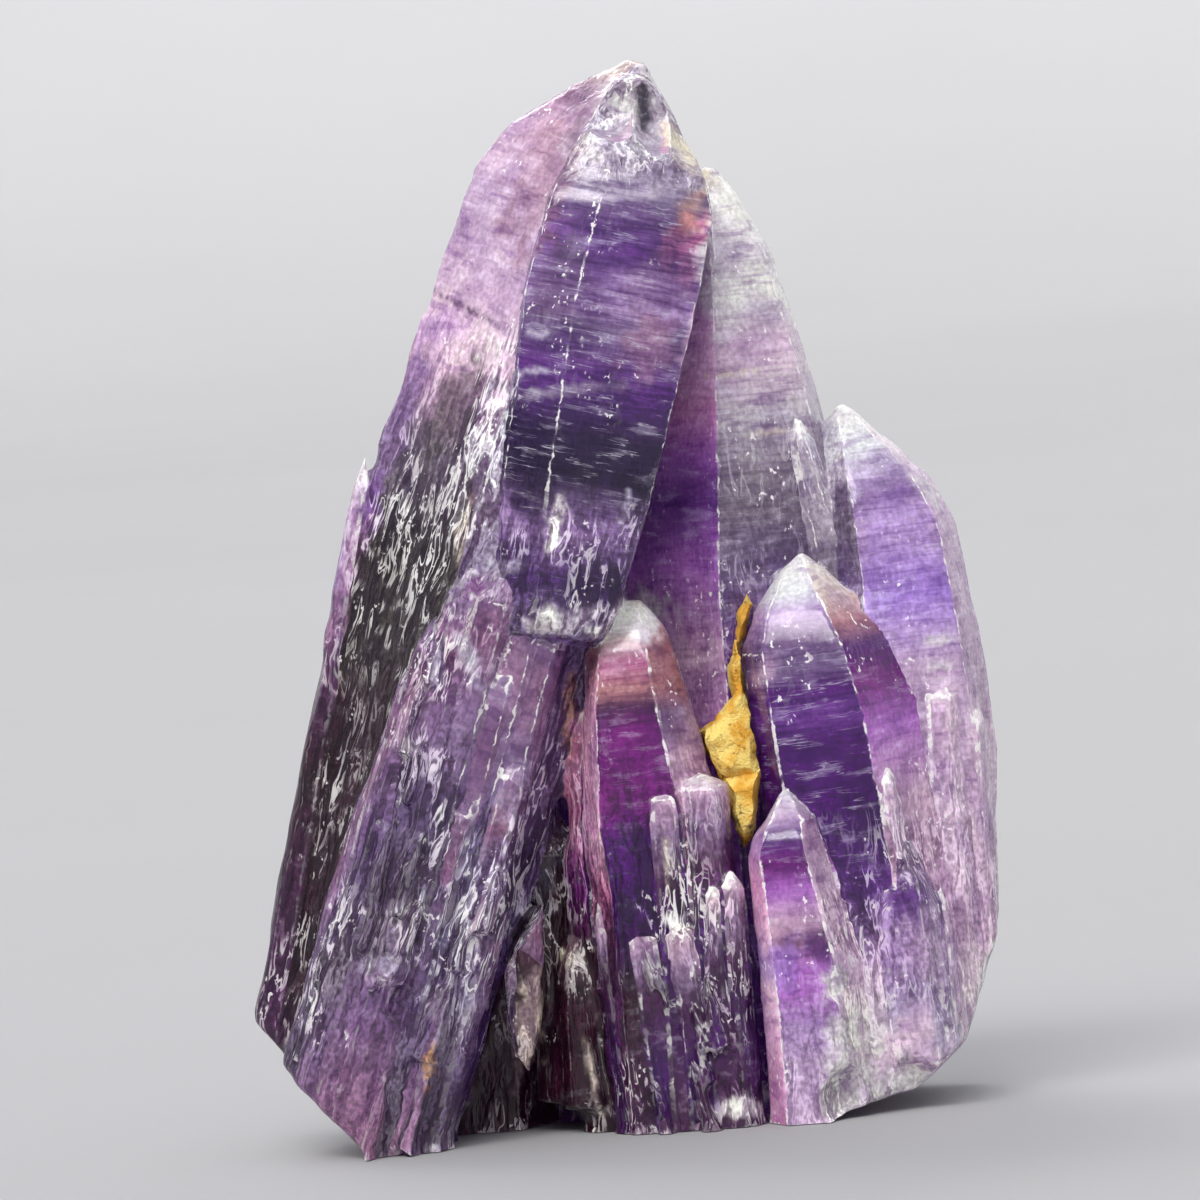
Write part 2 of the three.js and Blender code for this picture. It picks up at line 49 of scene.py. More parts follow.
# The large crystals: tip, foot, section and stations. A station is [drop below the tip, left, right, front,
# back], the last four from the axis.
LARGE = {
    "great": [
        [5.4, -1.5, TALL], [-17, 0, -2.4], GREAT,
        [[0, -0.6, 0.7, -0.6, 0.6], [2.6, -3.6, 2.9, -2.6, 2.8], [5, -5.9, 5.2, -4.4, 4.8],
         [8, -7.3, 6.5, -5.7, 6.2], [14, -7.8, 6.8, -6.5, 7], [24, -8.7, 7.1, -7, 7.4],
         [34, -8.5, 6.4, -7.2, 7.6], [66, -6.3, 5.8, -7, 7.4]]],
    "plate": [
        [5.2, -3.2, TALL - 0.8], [-4.6, -2.8, 24], PLATE,
        [[0, -0.8, 0.9, -0.4, 1], [3.9, -2.3, 4.7, -2.4, 1], [7, -3.3, 5.8, -4, 1],
         [12.6, -3.8, 5.8, -5.2, 1], [23, -3, 5.4, -5.8, 1], [29, -2, 5, -6, 1],
         [31.5, -1.8, 4, -6, 1]]],
    "tall": [
        [8.9, 2.2, 52.9], [9.3, 2.6, -1], RIDGED,
        [[0, -0.4, 0.4, -0.4, 0.4], [1.5, -1.4, 1.4, -1.5, 1.5], [5.2, -2.8, 3.2, -3, 3.2],
         [10, -3.9, 4.2, -4, 4.4], [15, -5.3, 5.4, -4.9, 5.3], [23, -7.1, 6.4, -5.6, 6],
         [54, -8, 6.6, -6, 6.4]]],
    "shoulder": [
        [15.1, 0.6, 39.1], [16.2, 0.4, -1], SHOULDERED,
        [[0, -0.3, 0.3, -0.3, 0.3], [0.9, -1.1, 1.1, -1.2, 1.2], [3.2, -2.4, 3.4, -2.9, 2.8],
         [4.6, -3, 4.6, -3.6, 3.5], [7.2, -3.6, 5.8, -4.5, 4.4], [14, -4, 6.5, -5.2, 5],
         [20, -4.2, 6.7, -5.4, 5.2], [29, -4.2, 5.8, -5.4, 5.2], [40, -4.2, 4.2, -5.2, 5]]],
    "pale": [
        [12.1, -3.4, 31.2], [13.9, -3.4, -1], PALE,
        [[0, -0.2, 0.2, -0.2, 0.2], [1.4, -1.9, 1.3, -1.6, 1.5], [3.2, -3.3, 3, -3, 2.8],
         [5.2, -4.2, 4.3, -3.8, 3.6], [9, -4.3, 5.3, -4.4, 4.2], [20, -4.2, 5.9, -4.8, 4.6],
         [32, -4.4, 5.2, -4.8, 4.6]]],
    "brown": [
        [2.5, -4.4, 29.4], [3, -4.6, -1], BROWN,
        [[0, -0.6, 0.5, -0.4, 0.5], [0.7, -1.4, 1.1, -1.3, 1.3], [1.5, -2.1, 1.7, -2, 2],
         [2.8, -2.8, 2.1, -2.6, 2.6], [5.2, -3.3, 2.5, -3, 3], [9, -3.8, 3.4, -3.4, 3.5],
         [12, -4.1, 4, -3.6, 3.8], [30, -3.9, 4.2, -4, 4]]],
    "bright": [
        [10, -7.6, 18.4], [10.6, -7.2, -1], BRIGHT,
        [[0, -0.15, 0.15, -0.15, 0.15], [1, -0.8, 0.9, -0.9, 0.9], [1.7, -1.4, 1.5, -1.6, 1.6],
         [2.4, -2.1, 1.65, -2.1, 2], [3.4, -2.5, 1.8, -2.4, 2.4], [9.8, -2.7, 3.2, -3.2, 3.2],
         [19, -3, 3.3, -3.5, 3.4]]],
    "rimmed": [
        [15.7, -6.4, 16], [16.2, -5.6, 0], EVEN,
        [[0, -0.25, 0.3, -0.3, 0.3], [0.9, -0.7, 0.7, -1, 1], [2.6, -1, 1.9, -1.8, 1.9],
         [3.8, -1.3, 2.2, -2.3, 2.3], [7, -1.9, 2.5, -2.7, 2.8], [16, -2.2, 2.7, -3, 3]]],
}

# Smaller crystals, by the kind that they are coloured as: tip, foot, width, depth, cap and shoulder share
POINT_SHARE = 0.08
WAIST = 0.45
SMALL = {
    "left": [
        ([-11.6, 0.6, 38.5], [-20, 0.6, 6], 2.4, 5, 1.8, 0.5),
        ([-16.4, 3.6, 16], [-17.6, 3, 1], 4.6, 6, 2.6, 0.7),
    ],
    "behind": [
        ([-3.6, 4.6, 47.5], [-12.6, 4.6, -1], 12.5, 9.5, 6, 0.72),
        ([-9, 7.6, 27], [-13, 7.2, -1], 7.6, 7.4, 4, 0.7),
        ([-2.4, 9.4, 17.4], [-5.4, 7.4, -1], 6.4, 5.6, 3, 0.7),
        ([2.6, 6, 40], [0.6, 6.2, -1], 11.5, 9.4, 5.5, 0.72),
        ([12.4, 6.2, 32.6], [11.8, 6.2, -1], 10.5, 8.6, 5, 0.74),
        ([6.8, 9, 22], [6.4, 8, -1], 6.2, 5.8, 3, 0.72),
        ([17.6, 4.4, 25], [16.6, 4.4, -1], 6, 6, 3.4, 0.7),
    ],
    "flank": [([-1, -2.4, 26.2], [-0.9, -2.6, -1], 3.8, 5, 3, 0.62)],
    "step": [
        ([5.6, -6.9, 19.7], [5.6, -6.5, -1], 4, 4.8, 0.7, 0.72),
        ([3.4, -6.8, 19.2], [3.6, -6.3, -1], 3.6, 4.6, 0.7, 0.62),
        ([6.7, -8.2, 14.2], [6.4, -7, -1], 2.4, 3.2, 0.8, 0.6),
        ([5.6, -8.3, 13.8], [5.2, -7.4, 2], 2, 2.4, 0.8, 0.6),
        ([1.4, -7, 12.4], [3, -6.4, -1], 4.4, 4, 1.6, 0.5),
        ([-0.6, -5.6, 13.4], [1, -5.2, -1], 4, 4.4, 2, 0.5),
        ([3.6, -8, 11.8], [4.4, -7, -1], 3, 3.2, 0.8, 0.6),
    ],
    "dark": [
        ([-2.8, -0.6, 18.4], [-3, -0.8, 1.5], 5, 6, 3, 0.7),
        ([-2.4, -3.4, 11], [-2.2, -3.4, 1.2], 3.4, 4.4, 2, 0.6),
        ([-5.4, 4.4, 31], [-8, 4.6, -1], 8.5, 9, 4, 0.7),
    ],
    "needle": [([12.6, -1.5, 38.5], [14.2, -1.4, 28], 2.8, 3, 1.4, 0.5)],
    "rim": [
        ([19.2, -2.8, 23.5], [19, -2.6, 1], 3.8, 5, 1, 0.6),
        ([20.9, -1.8, 22.1], [20.4, -1.8, 3], 2.6, 5, 1.1, 0.6),
        ([15.8, -7.2, 19], [16.2, -6.2, 8], 1.3, 2.4, 0.7, 0.7),
        ([18.2, -5.8, 12.2], [17.8, -5, 0], 2.6, 3.4, 1.6, 0.5),
    ],
}

# Flutes on the lower front of the great crystal: [x, y, z] of the tip and the width
FLUTES = [
    [-3.9, -6.9, 33, 4.4], [-6, -7, 32.2, 2.8], [-2.6, -6.9, 30.6, 3.4], [-7.8, -6.5, 30, 3.2],
    [-1.6, -6.6, 29.7, 3.4], [-9.2, -6.1, 27.6, 3], [-6.6, -7.3, 28.4, 1.9], [-4.4, -7.5, 27, 2.4],
    [-10.6, -5.7, 24.6, 2.8], [-9, -6.9, 23, 2.4], [-3.9, -7.1, 22.2, 3.2], [-12.4, -5.1, 21.2, 2.6],
    [-7, -7.4, 20.6, 3], [-5.2, -7.3, 16.8, 2.8], [-13.8, -4.9, 16.4, 2.6], [-10.4, -7, 16.6, 2.8],
]
FLUTE_DROP = 1.3
FLUTE_DEEP = 1.2
FLUTE_CAP = 0.7
FLUTE_NARROW = 0.74

# Fineness of the visual mesh, in millimetres
FRONT_STEP = 0.32
BACK_STEP = 0.62
STEP_TURN = (-0.05, 0.3)  # the Y of a face's normal where the step starts to grow, and where it is largest
CRUST_STEP = 0.2
MERGE = 0.002
FLAT = math.radians(0.3)
SHARP = math.radians(20)
CREASE = math.radians(40)
EDGE_STEP = 0.12
INSET = 0.5  # how far inner points stay off a face's border, as a share of the step
ROW = math.sqrt(0.75)  # between rows of even triangles, as a share of the step
STEEP = 0.7  # a face whose normal has a larger Y than this is laid out along X
INNER_CUT = 1  # the cut that keeps the triangles inside the outline alone
CUT_NEAR = 1e-6
TINY = 1e-12

# Patterns: a seed, then layers, each with its size as [across, through, along] and its strength
WAVES = (3, ([2.6, 2.6, 1.5], 0.05))
BENDS = (11, (2.6, 0.9))
WOBBLES = (21, (1.1, 0.35), (0.5, 0.45))
CRUST_LUMPS = (31, (0.9, 0.14), (0.45, 0.1))
BANDS = (41, ([7, 7, 1.7], 1), ([3.5, 3.5, 0.612], 0.6))
CLOUDS = (45, ([1.9, 1.9, 2.4], 1), ([0.76, 0.76, 0.96], 0.6))
STREAKS = (49, ([0.9, 0.9, 4.5], 1), ([0.45, 0.45, 2.25], 0.6))
SWARMS = (61, ([2.2, 2.2, 3], 1), (np.array([2.2, 2.2, 3]) / 2.7, 0.5))

# Dents: a seed, the size, how high the noise is where they start, and how deep they are
PITS = (5, [0.85, 0.85, 2.0], 0.0, 0.42)
SCRATCHES = (7, [0.42, 0.42, 1.0], -0.1, 0.2)
CHIPS = (9, [0.7, 0.7, 0.9], 0.1, 0.3)
DENT_FULL = 0.6  # how high the noise is where dents are deepest
CHIP_REACH = 0.7
CHIP_LEAST = 0.35  # how deep chips are where nothing is etched, as a share
SETTLE = 0.5  # the relief fades over this height above the flat base
WEAR_STEPS = 8
WEAR = (0.12, 0.4)  # how far each step wears everything, and how much more what is etched

# How strongly the patterns lighten and darken the tint
BAND_SHADE = 0.34
CLOUD_SHADE = 0.28
STREAK_SHADE = 0.3
DARKEST = 0.3
DEEPENING = np.array([1.0, 1.3, 0.75])  # how fast red, green and blue fall where it is darker
OWN_SHIFT = np.array([3.7, 1.3, 0])  # between the patterns of one crystal and the next
PATCH_TURN = (0.35, -0.05)  # the Y of a face's normal where patches begin, and where they are whole
PATCH_RIM = (1.15, 0.6)
SWARM_SHARE = 0.7  # how strongly the etched places draw the swarms of threads

# Noise in the materials: waves a millimetre on each axis, detail and distortion
GRIT = ((4.2, 4.2, 3.4), 1)
GROWTH = ((0.3, 0.3, 4.4), 2)
VEILS = ((0.5, 0.5, 1.7), 3)
THREADS = ((1.7, 1.7, 0.46), 3, 0.9)
BRUISES = ((1.6, 1.6, 1.2), 1)
RUST_LUMPS = ((0.9, 0.9, 0.9), 4, 0.4)
RUST_SPOTS = ((2.6, 2.6, 2.6), 3)
RUST_GRIT = ((7, 7, 7), 5)
FLOOR_MOTTLE = ((9, 9, 9), 3)

# Quartz
QUARTZ_IOR = 1.544
CLEAR = 0.44
ABSORBED = (0.52, 0.06, 0.76, 1.0)
ABSORPTION = 55.0
MILKY = (0.15, 0.6)  # the tint's lightness where the quartz starts to be milky, and where it is all milky
MILKY_CLEAR = 0.6  # how much of its clearness it keeps there, and on white marks
WHITE_CLEAR = 0.4
SMOOTH_ROUGH = (0.18, 0.22)  # where nothing is etched, and where all is
WHITE_ROUGH = 0.15
ETCH_BUMP = 0.34

# A Mix node's sockets for its share and two colours, and its result
MIX_SOCKETS = (0, 6, 7)
MIX_RESULT = 2

# The quartz's markings, among them the painted shade of etched hollows and the painted glints of thread
# crests: the values between which each comes up, and its strength
UNETCHED = (0.2, 0.9, 1.0, 0.2)
BAND_FROM = (0.52, 0.36)
BAND_STRENGTH = 0.85
LINE_AT = 0.57
LINE_WIDE = (0.022, 0.004)
LINE_VEIL = (0.46, 0.6)
LINE_STRENGTH = 0.9
DUSKY_FROM = (0.46, 0.34)
DUSKY_STRENGTH = 0.7
PALE_FROM = (0.55, 0.7)
PALE_STRENGTH = 0.6
PALE_LIGHT = 1.8
PALE_SILVER = 0.45
GRIT_FROM = (0.25, 0.75)
GRIT_DARK = (0.82, 0.5)
GRIT_LIGHT = (1.18, 1.5)
# the etched hollows' painted shade, and the threads' painted glints
HOLLOW_SHADE_FROM = (0.525, 0.445)
HOLLOW_SHADE_STRENGTH = 0.97
THREAD_AT = 0.57
THREAD_WIDE = (0.055, 0.014)
THREAD_SWARM = (0.0, 0.4)
GLINT_WHITE = (0.1, 0.9, 0.4, 0.95)
GLINT_LIGHT = 2.2
EDGE_LINE = 0.14  # how far the white of an edge reaches, in millimetres
EDGE_RAGGED = 0.45  # how much of that is left where it is ragged
RAGGED_FROM = (0.35, 0.65)
BRUISE_FROM = (0.4, 0.56, 0.08, 1.0)
BRUISE_ETCHED = (0.2, 0.7, 0.95, 0.2)
FLECK_FROM = (0.56, 0.64)
FLECK_GRIT = (0.58, 0.64)
FLECK_SWARM = (-0.1, 0.5)
FLECK_STRENGTH = 0.9

# The crust's, in the same form
RUST_YELLOW = (0.38, 0.62)
SPOT_FROM = (0.6, 0.7)
SPOT_STRENGTH = 0.75
BUFF_FROM = (0.55, 0.7)
BUFF_STRENGTH = 0.4
RUST_ROUGH = (0.3, 0.7, 0.6, 0.95)
RUST_BUMP = 0.2

# Camera and photograph
PHOTO_SIDE = 1200
PHOTO_SCALE = 18.0  # pixels a millimetre
PHOTO_FOOT = (633, 1130)  # where the drawn frame's x = 0, z = 0 lies in the photograph
ROLL = math.radians(5)
ELEVATION = math.radians(3)
CAMERA_AWAY = 600.0
FOCUS_DEPTH = -4.0
SENSOR = 36.0
NEAREST, FARTHEST = 0.01, 20  # metres


def srgb(red, green, blue):
    """A colour from 0 to 255 a channel, as linear light."""
    shares = np.array([red, green, blue]) / 255
    return np.where(shares <= 0.04045, shares / 12.92, ((shares + 0.055) / 1.055) ** 2.4)


WHITE = srgb(250, 247, 244)
CREAM = srgb(242, 230, 206)
SILVER = srgb(214, 210, 224)
ASH = srgb(190, 178, 196)
SLATE = srgb(176, 176, 206)
SMOKE = srgb(136, 124, 142)
PALE_LILAC = srgb(218, 188, 220)
BLUSH = srgb(238, 206, 230)
ROSY_LILAC = srgb(212, 172, 204)
LILAC = srgb(182, 148, 202)
GREY_VIOLET = srgb(134, 110, 154)
DUSTY_VIOLET = srgb(156, 122, 168)
VIOLET = srgb(118, 60, 156)
BLUE_VIOLET = srgb(86, 46, 120)
DEEP_VIOLET = srgb(84, 14, 118)
NIGHT = srgb(46, 26, 72)
PLUM = srgb(96, 46, 98)
DARK_PLUM = srgb(58, 16, 40)
SOOT = srgb(58, 28, 42)
MAGENTA = srgb(140, 38, 144)
ORCHID = srgb(190, 116, 212)
AMETHYST = srgb(176, 136, 226)
MAUVE = srgb(168, 118, 156)
ROSE = srgb(216, 130, 174)
PINK = srgb(240, 164, 214)
# near-white pink that stands in for light shining through the quartz: painted glow
PAINTED_GLOW = srgb(255, 212, 242)
DUSK = srgb(196, 132, 142)
WINE = srgb(150, 94, 120)
BEIGE = srgb(226, 204, 194)
MOSS_GREY = srgb(74, 66, 62)
TAN = srgb(212, 158, 112)
OCHRE = srgb(230, 168, 50)
YELLOW = srgb(255, 224, 124)
RUST = srgb(96, 46, 14)
BUFF = srgb(226, 196, 128)
DARKER = np.array([0.55, 0.42, 0.64])
# how dark the etched hollows are painted: painted shade
HOLLOW_SHADE = np.array([0.3, 0.2, 0.32])

# The looks of each kind of crystal: its colour, how etched it is and how clearly its growth bands show.
# Each list has a drop below the tip and the value there, in turn.
COLOUR, ETCHED, BANDED = range(3)
LOOKS = {
    "great": [
        [0, WHITE, 4, ASH, 8, GREY_VIOLET, 15, LILAC, 18, SILVER, 26, ASH, 30, GREY_VIOLET,
         44, GREY_VIOLET, 60, BLUE_VIOLET],
        [0, 0.6, 5, 0.1, 13, 0.2, 17, 0.9, 34, 1], [0, 0.3, 6, 0.8, 28, 0.6, 36, 0.1]],
    "great_left": [
        [0, CREAM, 2.5, MAUVE, 5, ROSY_LILAC, 9, PALE_LILAC, 17, BLUSH, 20, ROSY_LILAC,
         24, SMOKE, 29, MOSS_GREY, 35, MOSS_GREY, 39, SOOT, 54, SOOT, 63, PLUM],
        [0, 0.3, 6, 0.05, 15, 0.1, 21, 0.5, 27, 0.9], [0, 0.2, 10, 0.3, 24, 0.1]],
    "plate": [
        [0, WHITE, 3, SILVER, 5, ASH, 6.6, GREY_VIOLET, 9.6, VIOLET, 12.4, LILAC,
         14, GREY_VIOLET, 16.6, VIOLET, 18.6, BLUE_VIOLET, 20, NIGHT, 22.5, NIGHT,
         25, LILAC, 28, BLUE_VIOLET, 31, GREY_VIOLET],
        [0, 0.9, 4.5, 0.6, 6.5, 0.04, 21, 0.08, 24, 0.5, 27, 0.8, 30, 0.9],
        [0, 0, 4.5, 0.6, 7, 1, 22, 1, 28, 0.4]],
    "flute": [
        [0, SILVER, 1.6, DUSTY_VIOLET, 5, MAUVE, 9, DUSTY_VIOLET, 14, GREY_VIOLET,
         20, SMOKE, 26, DUSTY_VIOLET, 34, MAUVE],
        [0, 0.7, 3, 0.45, 9, 0.5, 13, 1, 22, 1, 28, 0.6], [0, 0.2, 6, 0]],
    "left": [
        [0, WHITE, 3, PALE_LILAC, 7, LILAC, 12, PLUM, 18, SOOT, 30, PLUM],
        [0, 0.3, 10, 0.6, 20, 0.8], [0, 0.1]],
    "tall": [
        [0, WHITE, 8, WHITE, 10, BLUSH, 14, ASH, 19, SMOKE, 23, GREY_VIOLET,
         27, VIOLET, 34, DEEP_VIOLET],
        [0, 0.1, 12, 0.05, 17, 0.3, 22, 0.4], [0, 0.2, 6, 0.5, 20, 0.6, 30, 0.4]],
    # the near-white pink of its upper part is painted glow, light shining through the quartz where the
    # lamps hardly reach
    "tall_left": [
        [0, WHITE, 7, PAINTED_GLOW, 11, PAINTED_GLOW, 13, PINK, 16, ORCHID, 18.5, VIOLET,
         22, ORCHID, 27, ROSY_LILAC, 33, ORCHID],
        [0, 0, 20, 0.1, 30, 0.2], [0, 0.3]],
    "shoulder": [
        [0, WHITE, 2.4, SILVER, 5, LILAC, 8, LILAC, 11, AMETHYST, 15, PALE_LILAC,
         19, PALE_LILAC, 28, BLUSH, 38, WHITE],
        [0, 0.1, 12, 0.1, 20, 0.25, 34, 0.4], [0, 0.2, 6, 0.7, 16, 0.5, 24, 0.2]],
    "shoulder_left": [
        [0, WHITE, 1.5, SILVER, 4, ASH, 7, SMOKE, 10, GREY_VIOLET, 16, PLUM],
        [0, 0.1, 4, 0.5], [0, 0.4]],
    "shoulder_right": [
        [0, WHITE, 4, PALE_LILAC, 14, PALE_LILAC, 22, BLUSH, 38, WHITE],
        [0, 0.1, 20, 0.3, 34, 0.6], [0, 0.3]],
    "pale": [
        [0, WHITE, 2.2, SILVER, 3.2, LILAC, 4.4, DUSTY_VIOLET, 5.8, GREY_VIOLET,
         7.4, DEEP_VIOLET, 8.8, VIOLET, 10.5, DEEP_VIOLET, 15, DEEP_VIOLET, 19, VIOLET,
         24, PALE_LILAC, 28, WHITE, 31, WHITE],
        [0, 0, 11, 0.1, 15, 0.4, 22, 0.6], [0, 0, 4.5, 0.5, 6.5, 1, 16, 0.7, 22, 0.2]],
    "pale_right": [
        [0, WHITE, 2.6, BEIGE, 4, DUSK, 5.4, DEEP_VIOLET, 7.6, MAGENTA, 10, ORCHID,
         14, ROSY_LILAC, 19, ROSY_LILAC, 25, BLUSH, 31, WHITE],
        [0, 0, 12, 0.15, 20, 0.5], [0, 0.2, 8, 0.4, 18, 0.1]],
    # its white tip, paler than its own beige, partly lifts the plate's shadow on the cap: painted light
    "brown": [
        [0, WHITE, 1.8, BEIGE, 3.4, ROSE, 4.6, DUSK, 5.8, PLUM, 7, MAGENTA, 11, MAGENTA,
         13, DEEP_VIOLET, 17, DEEP_VIOLET, 22, DARK_PLUM, 29, PLUM],
        [0, 0, 7, 0.05, 10, 0.4, 13, 0.8], [0, 0.2, 5, 0.8, 9, 0.4, 13, 0.1]],
    # its near-white pink is painted glow, light shining through the quartz
    "brown_left": [
        [0, BEIGE, 3, DUSK, 6, PINK, 12, PAINTED_GLOW, 16, ROSE, 20, PLUM],
        [0, 0.2, 12, 0.5, 16, 1], [0, 0]],
    "brown_right": [
        [0, BEIGE, 2.6, DUSK, 5, DUSK, 6.4, DUSTY_VIOLET, 9, ROSY_LILAC, 12, MAUVE,
         29, PLUM],
        [0, 0, 7, 0.1, 10, 0.5, 13, 1], [0, 0.3]],
    "bright": [
        [0, SILVER, 1.5, PALE_LILAC, 2.4, VIOLET, 4, MAGENTA, 5.4, ORCHID, 7, ROSY_LILAC,
         8.4, MAUVE, 9.6, ORCHID, 11, ORCHID, 13, LILAC, 18, PALE_LILAC],
        [0, 0, 9, 0.1, 14, 0.5], [0, 0, 2.4, 0.4, 11, 0.3, 16, 0]],
    # its near-white pink is painted glow, light shining through the quartz
    "bright_left": [
        [0, SILVER, 2, LILAC, 5, PINK, 10, PAINTED_GLOW, 18, PINK],
        [0, 0], [0, 0]],
    "bright_right": [
        [0, SILVER, 2, ROSY_LILAC, 7, BLUSH, 11, BLUSH, 14, WHITE, 18, WHITE],
        [0, 0.1, 9, 0.2, 13, 0.7], [0, 0.2]],
    "rimmed": [
        [0, WHITE, 1, ASH, 2.2, DUSTY_VIOLET, 4, VIOLET, 7, LILAC, 15, SILVER],
        [0, 0.2, 5, 0.5], [0, 0.3]],
    "flank": [
        [0, BEIGE, 2, TAN, 4, ROSE, 9, ROSE, 12, MAGENTA, 16, DARK_PLUM],
        [0, 0.3, 10, 0.8], [0, 0]],
    "step": [
        [0, WHITE, 1, ROSY_LILAC, 3, DUSTY_VIOLET, 5, PLUM, 9, DEEP_VIOLET, 18, PLUM],
        [0, 0.1, 1.5, 0.4, 5, 0.7], [0, 0]],
    "dark": [
        [0, WINE, 3, DARK_PLUM, 30, DARK_PLUM],
        [0, 0.7], [0, 0]],
    "needle": [
        [0, WHITE, 1.5, SILVER, 4, ASH, 9, SMOKE],
        [0, 0.3], [0, 0.2]],
    "rim": [
        [0, WHITE, 1.4, BLUSH, 6, PALE_LILAC, 14, BLUSH, 22, WHITE],
        [0, 0.2, 10, 0.5], [0, 0.1]],
    "behind": [
        [0, SILVER, 3, LILAC, 8, DUSTY_VIOLET, 16, VIOLET, 30, BLUE_VIOLET, 48, PLUM],
        [0, 0.2, 12, 0.4, 24, 0.9], [0, 0.4, 8, 0.8, 24, 0.2]],
}

# The sides, by number, that have a look of their own where LOOKS has one, such as great_left
SIDE_NAMES = {0: "left", 2: "right"}

